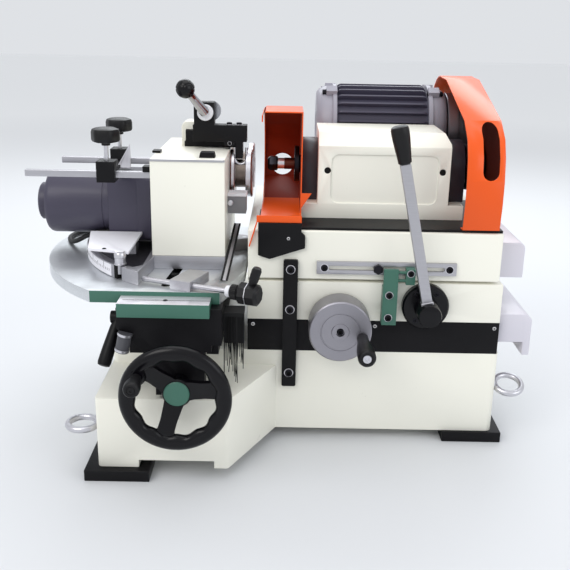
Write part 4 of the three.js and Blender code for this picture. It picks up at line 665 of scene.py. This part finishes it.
def spindle_unit():
    dressed("spindle_housing", 1.6)
    # Each oil port is a near-black disc: painted shade standing for the hole
    for number, (x, z) in enumerate(PORT_HOLES):
        port = Form().rod("y", (x, z), 5.1, 75.2, 79, 28)
        port.piece(f"housing_port_{number}", "traverse_slide", HOLE_PAINTED_SHADE, slot="gloss_black")
    dressed("left_bearing_cover", 0.8, finish=COVER_BLACK)
    dressed("right_bearing_cover", 0.8, finish=COVER_BLACK)
    form = Form()
    form.using(1).turned([(9, -33), (12, -30), (13, -28), (13, -18), (11.5, -16), (9, -16)], "x", SPINDLE, 6)
    form.using(0).turned([(9, -16), (9, -5)], "x", SPINDLE, 72)
    form.using(2).turned([(9.3, -5), (9.6, -4.6), (9.6, 12)], "x", SPINDLE, 72)
    flange = [(9.6, 12), (29, 12), (30, 13), (30, 19), (29, 20), (15, 20), (15, 60)]
    form.using(1).turned(flange, "x", SPINDLE, 72)
    form.using(0).turned([(15, 262), (15, 295.7), (12, 295.7), (12, 326.3)], "x", SPINDLE, 48)
    form.piece("spindle_nose", "spindle", BRIGHT, SOCKET, SLEEVE, slot="ground_steel",
               stands_for=("spindle_shaft",))
    grooved_wheel("spindle_driven_wheel", "spindle_pulley", "spindle", SPINDLE, (296, 326), 38, 33.3,
                  "blackened_steel")


BELT_MIDDLE, BELT_HALF = 310.5, 10
PULLEY_BORE = 12


def grooved_wheel(name, node, body, centre, span, radius, groove, finish, dish=0):
    """A belt wheel with one wide groove, and with a dished right face where dish is given."""
    left, right = span
    bore, side, middle = PULLEY_BORE, BELT_HALF, BELT_MIDDLE
    face = [(radius - 1, right)]
    if dish:
        floor = right - dish
        face += [(radius * 0.8, right), (radius * 0.78, floor), (bore * 1.9, floor), (bore * 1.8, right)]
    Form().turned([
        (bore, left), (radius - 1, left), (radius, left + 1), (radius, middle - side),
        (groove, middle - side + 1), (groove, middle + side - 1), (radius, middle + side),
        (radius, right - 1), *face, (bore, right),
    ], "x", centre, 96).piece(name, body, finish, stands_for=(node,))


GUARD_FRONT, GUARD_SIDES, GUARD_LEVELS = 61, (-39.5, 22.5), (372, 526.5)
BELT_WALL = (328.5, 330.5)


def guards():
    # Inner faces of the wheel guard, above its floor, take the darker orange as painted shade
    def shaded_wheel_guard_faces(_, place):
        (left, right), (low, high) = GUARD_SIDES, GUARD_LEVELS
        return place.y > GUARD_FRONT and left < place.x < right and low < place.z < high

    # The inner face of the belt guard's right wall takes the dark orange as painted shade
    def shaded_belt_guard_wall(normal, place):
        return normal.x < -0.9 and BELT_WALL[0] < place.x < BELT_WALL[1]

    dressed("wheel_guard", 0.5, [(shaded_wheel_guard_faces, GUARD_PAINTED_SHADE)])
    dressed("belt_guard", 0.5, [(shaded_belt_guard_wall, BELT_GUARD_PAINTED_SHADE)])
    dressed("drive_belt", 0.6)
    socket_screws("belt_guard_screw", "traverse_slide", [(306, 14, 362.3)], "z", 3.4, 1.6, ZINC, outward=1)


FIN_COUNT, FIN_REACH, FIN_ROOT, FIN_HALF = 28, 75, 66, 1.6
BELL_RADIUS, FIN_START, FIN_END = 70, 86, 247
LUG_ANGLES = (60, 120, 240, 300)


def spindle_motor():
    y, z = MOTOR
    form = Form().rod("x", MOTOR, FIN_ROOT, 80, 253, 96)
    for k in range(FIN_COUNT):
        turn = Matrix.Rotation(2 * math.pi * k / FIN_COUNT, 4, "X")
        outline = [(FIN_START, 50), (FIN_END, 50), *arc((FIN_END - 11, FIN_REACH - 9), 9, 0, 90, 5),
                   *arc((FIN_START + 9, FIN_REACH - 9), 9, 90, 180, 5)]
        fin = Form()
        fin.shell([[(a, t * (2 if b < 60 else 1), b) for a, b in outline] for t in (-FIN_HALF, FIN_HALF)])
        fin.moved(Matrix.Translation((0, y, z)) @ turn)
        form.join(fin)
    form.block((100, 233), (240, 345), (360, 425))
    form.piece("motor_finned_body", "traverse_slide", "motor_paint",
               stands_for=("spindle_motor",), crease=40)
    for side, inner, outer in (("left", 86, 51), ("right", 247, 281)):
        out = 1 if outer > inner else -1
        bell = Form().turned([
            (60, inner), (FIN_REACH - 1, inner), (FIN_REACH, inner + out), (FIN_REACH, inner + out * 7),
            (BELL_RADIUS + 1, inner + out * 8), (BELL_RADIUS, outer - out * 12),
            (BELL_RADIUS * 0.93, outer - out * 4), (BELL_RADIUS * 0.86, outer), (26, outer),
            (24, outer - out * 3), (13, outer - out * 3),
        ], "x", MOTOR, 96)
        lug_face = inner + out * 19
        bolts = []
        for angle in LUG_ANGLES:
            lug = Form().block(sorted((inner, lug_face)), (-8, 8), (62, 80))
            bell.join(lug.moved(standing((0, y, z), angle - 90, "X")))
            a = math.radians(angle)
            bolts.append((lug_face, y + 72 * math.cos(a), z + 72 * math.sin(a)))
        bell.piece(f"motor_{side}_bell", "traverse_slide", MOTOR_BELL, slot="motor_paint", crease=40)
        socket_screws(f"motor_{side}_bolts", "traverse_slide", bolts, "x", 4.6, 7, ring=SOCKET, outward=out)
    grooved_wheel("motor_driving_wheel", "motor_pulley", "motor_rotor", MOTOR, (283, 325), 62, 57.3,
                  "aluminium", dish=10)


# Work side: saddle, its feed and the sector plate

WHEEL_RADIUS, WHEEL_FRONT, WHEEL_DEPTH, HUB_FRONT = 80, -199, 18, -175
WHEEL_SPOKES = (254, 14, 134)
RIM_HALF = 11.5
SCALLOPS, SCALLOP_DEPTH = 12, 1.6
SPOKE_SECTIONS = (
    (10, 15, 1.5), (22, 13.5, -1), (40, 12, -10), (54, 12.5, -17), (60, 15, -18.5), (68, 20, -19),
)


def work_wheel():
    x, z = WORK_WHEEL
    rings = []
    for a in full_turn(180):
        scallop = SCALLOP_DEPTH * math.cos(SCALLOPS * a)
        ring = []
        for b in full_turn(20):
            inward = max(0, -math.cos(b))
            reach = WHEEL_RADIUS - RIM_HALF + RIM_HALF * math.cos(b) - scallop * inward
            depth = WHEEL_FRONT + WHEEL_DEPTH / 2 + WHEEL_DEPTH / 2 * math.sin(b)
            ring.append((x + reach * math.cos(a), depth, z + reach * math.sin(a)))
        rings.append(ring)
    form = Form().shell(rings, closed=True)
    for angle in WHEEL_SPOKES:
        sections = [(r, w, HUB_FRONT + t) for r, w, t in SPOKE_SECTIONS]
        spoke = Form().shell([[(r, front, -w), (r, front, w), (r, front + 9.5, w), (r, front + 9.5, -w)]
                              for r, w, front in sections])
        form.join(spoke.moved(standing((x, 0, z), -angle, "Y")))
    boss = [(12, 14), (13.5, 14), (12.6, 3), (11.5, 0.3), (6, 0.3)]
    form.turned([(r, WHEEL_FRONT + t) for r, t in boss], "y", WORK_CRANK_PLACE, 40)
    form.turned([(14, -135.4), (14, -157), (19, -160), (21.5, -164), (21.5, HUB_FRONT + 2), (19.8, HUB_FRONT),
                 (15, HUB_FRONT)], "y", WORK_WHEEL, 64)
    form.piece("work_wheel_rim", "work_wheel", "gloss_black", stands_for=("work_handwheel",), crease=50)
    cap = [(18.6, 0.4), (18.6, -1.2), (17.4, -2.2), (9, -2.6), (1, -2.6)]
    Form().turned([(r, HUB_FRONT + t) for r, t in cap], "y", WORK_WHEEL, 64).piece(
        "work_wheel_cap", "work_wheel", "green_paint")
    dressed("work_leadscrew", 0)


LEDGE_TOP = 283.5


def saddle_side():
    dressed("saddle", 1.6)
    dressed("scale_ledge", 0.4, [(lambda normal, _: normal.z > 0.9, SCALE_WHITE)])
    top = LEDGE_TOP
    groove = Form().block((-231, -105), (-131.4, -130.2), (top - 0.2, top + 0.15))
    groove.piece("ledge_groove", "work_saddle", ENGRAVED, slot="black_plastic")
    dial = [(3.4, top), (3.2, top + 0.6), (1.2, top + 0.7), (1, top + 0.2)]
    mark = Form().turned(dial, "z", (-170, -130.8), 32)
    mark.piece("ledge_mark", "work_saddle", SOCKET, slot="black_plastic")

    def front(normal, place):
        return normal.y < -0.9 and place.y < -100

    # Faces in the arc slot are near-black, painted shade in the slot
    def arc_slot(normal, place):
        return -188 < place.x < -158 and -95 < place.y < 25 and place.z < SECTOR_TOP - 0.1 and normal.z > -0.5

    dressed("swivel_base_plate", 0.5, [(front, "green_paint"), (arc_slot, HOLE_PAINTED_SHADE)], PLATE_STEEL)
    dressed("angle_screw_block", 0.8)
    curtain()
    lock_post()
    seal_strip()
    clamp_lever()


CLAMP_PIVOT = Vector((-245, -95, 244))
CLAMP_REACH = Vector((-18, -38, -63))
LOCK_POST = (Vector((-227.5, -138, 236)), Vector((-234, -138, 207)))


def clamp_lever():
    """A clamp lever with a long grip that swells to its end."""
    shares = (0, 0.12, 0.22, 0.45, 0.7, 0.92, 0.985, 1)
    radii = (6, 7, 8.2, 9, 9.8, 10, 8.8, 5)
    line = [CLAMP_PIVOT + CLAMP_REACH * share for share in shares]
    form = Form().tube(line, radii, 36)
    form.turned([(8.6, -256.5), (9.5, -255.5), (9.5, -246), (8.8, -245.3), (8, -245.3), (8, -241.3)],
                "x", (CLAMP_PIVOT.y, CLAMP_PIVOT.z), 40)
    form.piece("saddle_clamp_grip", "saddle_clamp", "black_paint",
               stands_for=("saddle_clamp_lever",))


CURTAIN_X, CURTAIN_Y, CURTAIN_TOP, CURTAIN_LOW = (-89.7, -59.7), (-100, -66), 255, 137
CURTAIN_STRIPS, STRIP_DEPTH = 15, 2.2
SEAL_LINE = ((-80.5, 100, 341), (-85.5, 20, 316.5), (-91, -60, 292))


def curtain():
    """A frayed splash curtain of hanging rubber strips that end at different heights."""
    form = Form().block(CURTAIN_X, CURTAIN_Y, (CURTAIN_TOP - 6, CURTAIN_TOP))
    form.block(CURTAIN_X, (CURTAIN_Y[0] + 12, CURTAIN_Y[0] + 16), (CURTAIN_TOP - 52, CURTAIN_TOP - 5))
    pitch = (CURTAIN_X[1] - CURTAIN_X[0]) / CURTAIN_STRIPS
    for k in range(CURTAIN_STRIPS):
        left = CURTAIN_X[0] + k * pitch
        back = CURTAIN_Y[0] + (k * 13) % 29
        foot = CURTAIN_LOW + (k * 37) % 41
        sway = ((k * 7) % 5 - 2) * 0.9
        rings = []
        for step in range(7):
            share = step / 6
            z = CURTAIN_TOP - 5 + (foot - CURTAIN_TOP + 5) * share
            x = min(max(left + sway * share * share * 2, CURTAIN_X[0]), CURTAIN_X[1] - pitch * 0.9)
            y = back + 1.6 * math.sin(share * 5 + k)
            right = x + pitch * 0.9 * (1 - 0.45 * share * share)
            y = min(max(y, CURTAIN_Y[0]), CURTAIN_Y[1] - STRIP_DEPTH)
            rings.append([(x, y, z), (right, y, z), (right, y + STRIP_DEPTH, z), (x, y + STRIP_DEPTH, z)])
        form.shell(rings)
    form.piece("curtain_strips", "work_saddle", "rubber", stands_for=("splash_curtain",))


def lock_post():
    """A grey post with a bright band near each end, beside the clamp lever."""
    start, end = LOCK_POST
    post = Form().tube([start, end], 10, 40)
    post.using(1)
    for share in (0.08, 0.9):
        middle = start.lerp(end, share)
        along = (end - start).normalized() * 1.8
        post.tube([middle - along, middle + along], 10.8, 40)
    post.piece("saddle_lock_post", "work_saddle", LOCK_GREY, BRIGHT, slot="black_paint")


def seal_strip():
    """A steel strip between two rubber lips that slants down towards the front."""
    seal = Form()
    for paint, side, width in ((1, -4.4, 2), (0, -0.6, 2.6), (1, 3.4, 1.6)):
        section = ((-width, 0), (width, 0), (width, 1.6), (-width, 1.6))
        seal.using(paint).shell([[(x + side + a, y, z + b) for a, b in section] for x, y, z in SEAL_LINE])
    seal.piece("slanting_seal_strip", "work_saddle", "ground_steel", "rubber", slot="rubber", edge=0.3)


SCREW_TIP = Vector((-212, -71.4, 297))
SCREW_TURN = -21.9


def angle_screw():
    place = standing(SCREW_TIP, SCREW_TURN, "Z")
    rod_form = Form().rod("x", (0, 0), 4, 0, 141, 32, 0.8)
    collar = [(4, 138), (8, 139), (8.4, 141), (8.4, 145), (7.5, 146), (4, 146)]
    rod_form.using(1).turned(collar, "x", (0, 0), 40)
    rod_form.using(2)
    knurled(rod_form, 146, 158, 11, 26)
    rod_form.turned([(12, 158), (16.6, 162), (16.6, 186), (12, 190)], "x", (0, 0), 8)
    rod_form.using(3).turned([(16.9, 172), (16.9, 173)], "x", (0, 0), 8)
    grip = Form().turned([(5, 10), (5.5, 17), (6.8, 22), (7.2, 38), (5.5, 42), (2, 43)], "z", (0, 0), 36)
    rod_form.using(2).join(grip.moved(standing((174, 0, 0), 18, "Y")))
    rod_form.moved(place).piece("angle_screw_knob", "angle_adjuster", "ground_steel", WHITE_RING,
                                "black_plastic", BRIGHT, stands_for=("angle_screw",))


def knurled(form, start, end, radius, count):
    """A grip with straight grooves along X about the X axis."""
    steps = count * 4
    rings = []
    for r, t in ((radius * 0.85, start), (radius, start + 1.5), (radius, end - 1.5), (radius * 0.85, end)):
        ring = []
        for k, a in enumerate(full_turn(steps)):
            reach = r - (0.7 if k % 4 in (1, 2) else 0)
            ring.append((t, reach * math.cos(a), reach * math.sin(a)))
        rings.append(ring)
    form.shell(rings)


# Work head

STRIP_ANGLES = (188, 223)
STRIP_HEIGHTS = (292, 309.5)
SCALE_RADIUS = 262.15
TICK_STEP, TICK_FOOT = 1.25, 298.5
BOLT_RADIUS, BOLT_ANGLE = 253, math.radians(225.5)
SWIVEL_BOLT = (PIVOT[0] + BOLT_RADIUS * math.cos(BOLT_ANGLE), PIVOT[1] + BOLT_RADIUS * math.sin(BOLT_ANGLE))


def swivel():
    # Up-facing faces low in the recess take the darker steel as painted shade
    def recess(normal, place):
        return normal.z > 0.9 and place.z < SWIVEL_TOP - 5

    def shelf(_, place):
        return place.z > SWIVEL_TOP + 10 and place.x < -230

    # Faces in the slot round the clamp bolt are near-black, painted shade in the slot
    def slot(_, place):
        return (place.xy - Vector(SWIVEL_BOLT)).length < 12 and place.z < SWIVEL_TOP - 0.1

    dressed("swivel_plate", 0.5, [(recess, RECESS_PAINTED_SHADE), (shelf, SCALE_PAINT), (slot, HOLE_PAINTED_SHADE)])
    inner, outer = SCALE_RADIUS - 0.4, SCALE_RADIUS + 0.5
    low, high = STRIP_HEIGHTS
    rings = []
    for half in range(STRIP_ANGLES[0] * 2, STRIP_ANGLES[1] * 2 + 1):
        a = math.radians(half / 2)
        rings.append([(PIVOT[0] + r * math.cos(a), PIVOT[1] + r * math.sin(a), z)
                      for r, z in ((inner, low), (outer, low), (outer, high), (inner, high))])
    Form().shell(rings).piece("swivel_scale", "work_head", SCALE_PAINT, slot="ground_steel", crease=20)
    scale_lines()
    nut = [(9.5, 311.2), (9.5, 313), (8.2, 313.4), (8.2, 321), (7.4, 322), (9, 322.3), (9, 327.5), (7.5, 330),
           (2, 330.6)]
    form = Form().turned(nut, "z", SWIVEL_BOLT, 40)
    form.piece("swivel_clamp_nut", "work_head", BRIGHT, slot="ground_steel")
    socket_screws("shelf_screw", "work_head", [(-276.5, -30, 330)], "z", 3.2, 1, outward=1)


def scale_lines():
    """Evenly spaced lines on the swivel's scale, longer at each fourth and longest at each eighth."""
    ticks = Form()
    count = int((STRIP_ANGLES[1] - STRIP_ANGLES[0]) / TICK_STEP) - 1
    for k in range(1, count + 1):
        length = 11 if k % 8 == 0 else 7 if k % 4 == 0 else 4
        reach = (SCALE_RADIUS + 0.3, SCALE_RADIUS + 0.62)
        tick = Form().block(reach, (-0.45, 0.45), (TICK_FOOT, TICK_FOOT + length))
        ticks.join(tick.moved(standing((*PIVOT, 0), STRIP_ANGLES[0] + TICK_STEP * k, "Z")))
    ticks.piece("swivel_scale_lines", "work_head", ENGRAVED, slot="black_plastic")


GEAR_MOTOR = (134, 368)
GEAR_MOTOR_PROFILE = [
    (20, -413.8), (28.5, -413.8), (31, -411.5), (31, -400.5), (32.5, -399.4), (44, -399), (48, -398),
    (51, -394.5), (52, -390), (52, -303), (51.2, -302.5), (51.2, -301), (52, -300.5), (52, -292),
]
CAP_SCREW_ANGLES = (0.5, 2.1, 3.6, 5.2)
REST_LEFT, REST_TOP = -94.5, 405


def head_castings():
    foot = HOUSING_TOP + 0.2
    dressed("head_housing", 1.2, [(lambda _, place: place.x > REST_LEFT and place.z < REST_TOP, REST_GREY)])
    strip = Form().block((-209, -95), (3.6, 5.2), (HOUSING_TOP - 3, HOUSING_TOP + 0.3))
    strip.piece("housing_front_strip", "work_head", "ground_steel", edge=0.3)
    dressed("head_gearbox", 2.5)
    dressed("hold_down_post", 1.2, [(lambda _, place: place.y < 151.5, "black_paint")])
    form = Form().block((-172, -84), (140.5, 151), (foot, HOUSING_TOP + 9))
    form.piece("hold_down_foot", "work_head", "black_paint", edge=0.8)
    form = Form().block((-221, -210), (10, 30), (441.2, 450))
    form.block((-214, -201), (64, 82), (foot, HOUSING_TOP + 4))
    form.piece("rail_clamps", "work_head", "black_paint", edge=0.8)
    can = Form().turned(GEAR_MOTOR_PROFILE, "x", GEAR_MOTOR, 128)
    can.piece("gear_motor_can", "work_head", "motor_paint", stands_for=("head_motor",))
    y, z = GEAR_MOTOR
    end = GEAR_MOTOR_PROFILE[0][1]
    cap_screws = [(end, y + 24 * math.cos(a), z + 24 * math.sin(a)) for a in CAP_SCREW_ANGLES]
    socket_screws("motor_cap_screws", "work_head", cap_screws, "x", 2.4, 1)
    dressed("front_rail", 0.6)
    dressed("rear_rail", 0.6)
    clamp = Form().prism([(-136, foot), (-111, foot), (-113, 471), (-134, 471)], "y", 24, 42)
    clamp.piece("housing_top_clamp", "work_head", "black_paint", edge=1)


CAM = (-134, 522)


def hold_down():
    dressed("hold_down_arm", 0.6)
    toe = Form().block((-104, -85.8), (115.2, 139.5), (468.5, 475.3))
    toe.piece("hold_down_toe", "hold_down", "black_paint", edge=0.6)
    socket_screws("hold_down_toe_screw", "hold_down", [(-95, 115.2, 472.5)], "y", 2.8, 0.9, ring=BRIGHT)
    screws = [(x, 127, 502) for x in (-96, -80)]
    socket_screws("hold_down_arm_screws", "hold_down", screws, "z", 4.6, 3.4, outward=1)
    x, z = CAM
    form = Form().turned([(10, 114.7), (13, 114.7), (13, 110), (12, 108.7), (6, 108.7)], "y", CAM, 56)
    centre = Vector((x - 27, 74.7, z + 40))
    start = Vector((x, 108.7, z))
    form.using(1)
    for shares, radii in (((0.02, 0.3, 0.72), (8.2, 7.4, 6.2)), ((0.6, 0.74, 0.8), (6.4, 6.8, 8))):
        form.tube([start.lerp(centre, share) for share in shares], radii, 32)
    form.turned([(16, 140), (16, 149), (14, 149.5)], "y", (x + 7, z), 64)
    form.piece("hold_down_handle_rod", "hold_down_handle", WHITE_RING, LEVER_STEEL, slot="ground_steel",
               stands_for=("hold_down_lever",))
    grooved_ball("hold_down_ball", "hold_down_handle", centre, 15)
    hook = [(-86.5, 466), (-86.5, 448), *arc((-77, 448), 9.5, 180, 360, 12), (-67.5, 466)]
    form = Form().tube([(x, 119, z) for x, z in hook], 2.4)
    form.piece("hold_down_hook", "hold_down", BRIGHT, slot="ground_steel")


def grooved_ball(name, body, centre, radius):
    """A ball whose face is parted by grooves between the twelve corners of an icosahedron."""
    golden = (1 + math.sqrt(5)) / 2
    corners = [Vector(c).normalized() for a in (-1, 1) for b in (-golden, golden)
               for c in ((0, a, b), (a, b, 0), (b, 0, a))]
    rows = 40
    rings = []
    for i in range(1, rows):
        polar = math.pi * i / rows
        ring = []
        for a in full_turn(72):
            way = Vector((math.sin(polar) * math.cos(a), math.sin(polar) * math.sin(a), math.cos(polar)))
            near = sorted((way.dot(c) for c in corners), reverse=True)
            groove = max(0.0, 1 - (near[0] - near[1]) / 0.07)
            ring.append(centre + way * (radius - 1.1 * groove))
        rings.append(ring)
    Form().shell(rings).piece(name, body, "gloss_black", slot="black_plastic", crease=80)


ROLLER_LEFT = -94.7
ROLLERS = (("drive_roller_disc", "drive_roller", "front_roller", 134),
           ("idle_roller_disc", "idle_roller", "back_roller", 214))


def rollers():
    for name, node, body, y in ROLLERS:
        left = ROLLER_LEFT
        a, b = left + 8.4, left + 26.4
        form = Form().turned([
            (8, left - 49), (8, left), (38, left), (39, left + 1), (39, a - 1), (38, a), (23, a + 0.5),
            (23, b - 0.5), (38, b), (39, b + 1), (39, b + 10), (38, b + 11), (16, b + 11), (15, b + 9.5),
            (6, b + 9.5), (5, b + 10.6), (1, b + 10.6),
        ], "x", (y, ROLLER_Z), 112)
        groove = [(20, a + 0.4), (23.5, a + 0.6), (23.5, b - 0.6), (20, b - 0.4)]
        form.using(1).turned(groove, "x", (y, ROLLER_Z), 96)
        for start, end in ((left + 0.9, left + 3.6), (b + 8, b + 10.4)):
            band = [(37, start), (39.2, start + 0.3), (39.2, end - 0.3), (37, end)]
            form.using(2).turned(band, "x", (y, ROLLER_Z), 112)
        form.piece(name, body, BRIGHT, GROOVE, SLEEVE, slot="ground_steel", stands_for=(node,))
    cap = Form().block((-94.8, -64), (59.2, 92.5), (396, 400.4))
    cap.piece("roller_rest_cap", "work_head", WHITE_RING, slot="ground_steel", edge=0.8)
    pin = Form().rod("y", (-90, 386), 4.5, 54, 60, 32, 1)
    pin.piece("roller_rest_pin", "work_head", BRIGHT, slot="ground_steel")


KNOB_STEM = 28
KNOB_LOBES = 6
KNOB_PROFILE = [
    (6.5, -5), (7, -0.5), (17, 0), (20.5, 1.2), (22, 4), (22, 15), (20.5, 19.5), (15, 21.6), (5, 22),
]
STOP_TOP = 457
STOP_KNOBS = (("front_clamp_knob", "front_stop_knob", "front_knob", -277, 20),
              ("rear_clamp_knob", "rear_stop_knob", "rear_knob", -282, 150))


def on_carriage_face(_, place):
    return 70 < place.y < 90 and place.z > 442


def end_stop():
    dressed("end_stop_carriage", 0.8, [(on_carriage_face, SCALE_WHITE)])
    for name, node, body, x, y in STOP_KNOBS:
        form = Form().rod("z", (x, y), 3.5, STOP_TOP - 13.8, STOP_TOP + KNOB_STEM - 4, 24)
        form.using(1)
        rings = []
        for r, t in KNOB_PROFILE:
            ring = []
            for a in full_turn(96):
                reach = r * (1 - (0.07 * (1 - math.cos(KNOB_LOBES * a)) / 2 if r > 10 else 0))
                ring.append((x + reach * math.cos(a), y + reach * math.sin(a), STOP_TOP + KNOB_STEM + t))
            rings.append(ring)
        form.shell(rings)
        form.piece(name, body, BRIGHT, "black_plastic", slot="black_plastic", stands_for=(node,))


# Stage


FLOOR_REACH = 14


def studio_world():
    """Even light on surfaces, and a plain pale background where the view or a reflection looks past them."""
    world = bpy.data.worlds.new("studio")
    bpy.context.scene.world = world
    world.use_nodes = True
    tree = world.node_tree
    plain, pale = tree.nodes["Background"], tree.nodes.new("ShaderNodeBackground")
    path, mix = tree.nodes.new("ShaderNodeLightPath"), tree.nodes.new("ShaderNodeMixShader")
    plain.inputs["Color"].default_value = (0.93, 0.96, 1, 1)
    plain.inputs["Strength"].default_value = 0.8
    pale.inputs["Color"].default_value = (0.74, 0.76, 0.79, 1)
    seen = path.outputs["Is Camera Ray"]
    for ray in ("Is Glossy Ray", "Is Transmission Ray"):
        either = tree.nodes.new("ShaderNodeMath")
        either.operation = "MAXIMUM"
        tree.links.new(seen, either.inputs[0])
        tree.links.new(path.outputs[ray], either.inputs[1])
        seen = either.outputs[0]
    for number, source in enumerate((seen, plain.outputs[0], pale.outputs[0])):
        tree.links.new(source, mix.inputs[number])
    tree.links.new(mix.outputs[0], tree.nodes["World Output"].inputs["Surface"])


def studio_floor():
    """A pale floor that turns whiter with distance."""
    finish = Finish("studio_floor", Roughness=0.55, Specular_IOR_Level=0.25)
    clouds = finish.noise(3, 3)
    away = finish.node("ShaderNodeVectorMath", {"operation": "LENGTH"}, {0: finish.place}, 1)
    near = finish.blended(clouds * 0.4, (0.68, 0.69, 0.71), (0.65, 0.66, 0.68))
    finish.drive(Base_Color=finish.blended(away.between(0.8, 5), near, (0.95, 0.95, 0.95)))
    mesh = bpy.data.meshes.new("studio_floor")
    corners = [(x * FLOOR_REACH, y * FLOOR_REACH, 0) for x, y in ((-1, -1), (1, -1), (1, 1), (-1, 1))]
    mesh.from_pydata(corners, [], [(0, 1, 2, 3)])
    mesh.materials.append(finish.material)
    floor = linked("studio_floor", mesh)


def studio_lamps():
    add_lamp("key", (-1.3, -1.7, 2.1), (1.6, 1.2), 24, (1, 0.98, 0.95))
    add_lamp("fill", (1.9, -1.4, 1.3), (1.5, 1.2), 10, (0.95, 0.98, 1))
    add_lamp("window", (0.2, 1.9, 1.9), (2.6, 1.2), 31, (0.93, 0.97, 1))
    add_lamp("top", (0, 0, 2.4), (1.8, 1.8), 14)


set_camera()
studio_world()
studio_floor()
studio_lamps()
motor_lead()
base_and_beds()
cross_slide()
cross_wheel()
crank_handle("cross_revolving_handle", "cross_crank_handle", "cross_crank", CROSS_CRANK_PLACE,
             DRUM_FRONT - 0.3, 84, 9, 13.5, BRIGHT)
crank_handle("work_revolving_handle", "work_crank_handle", "work_crank", WORK_CRANK_PLACE,
             WHEEL_FRONT - 0.3, 41, 8, 11.5, "black_plastic")
hand_lever()
traverse_slide()
spindle_unit()
guards()
spindle_motor()
work_wheel()
saddle_side()
angle_screw()
swivel()
head_castings()
hold_down()
rollers()
end_stop()

bpy.context.scene.view_settings.view_transform = "Standard"
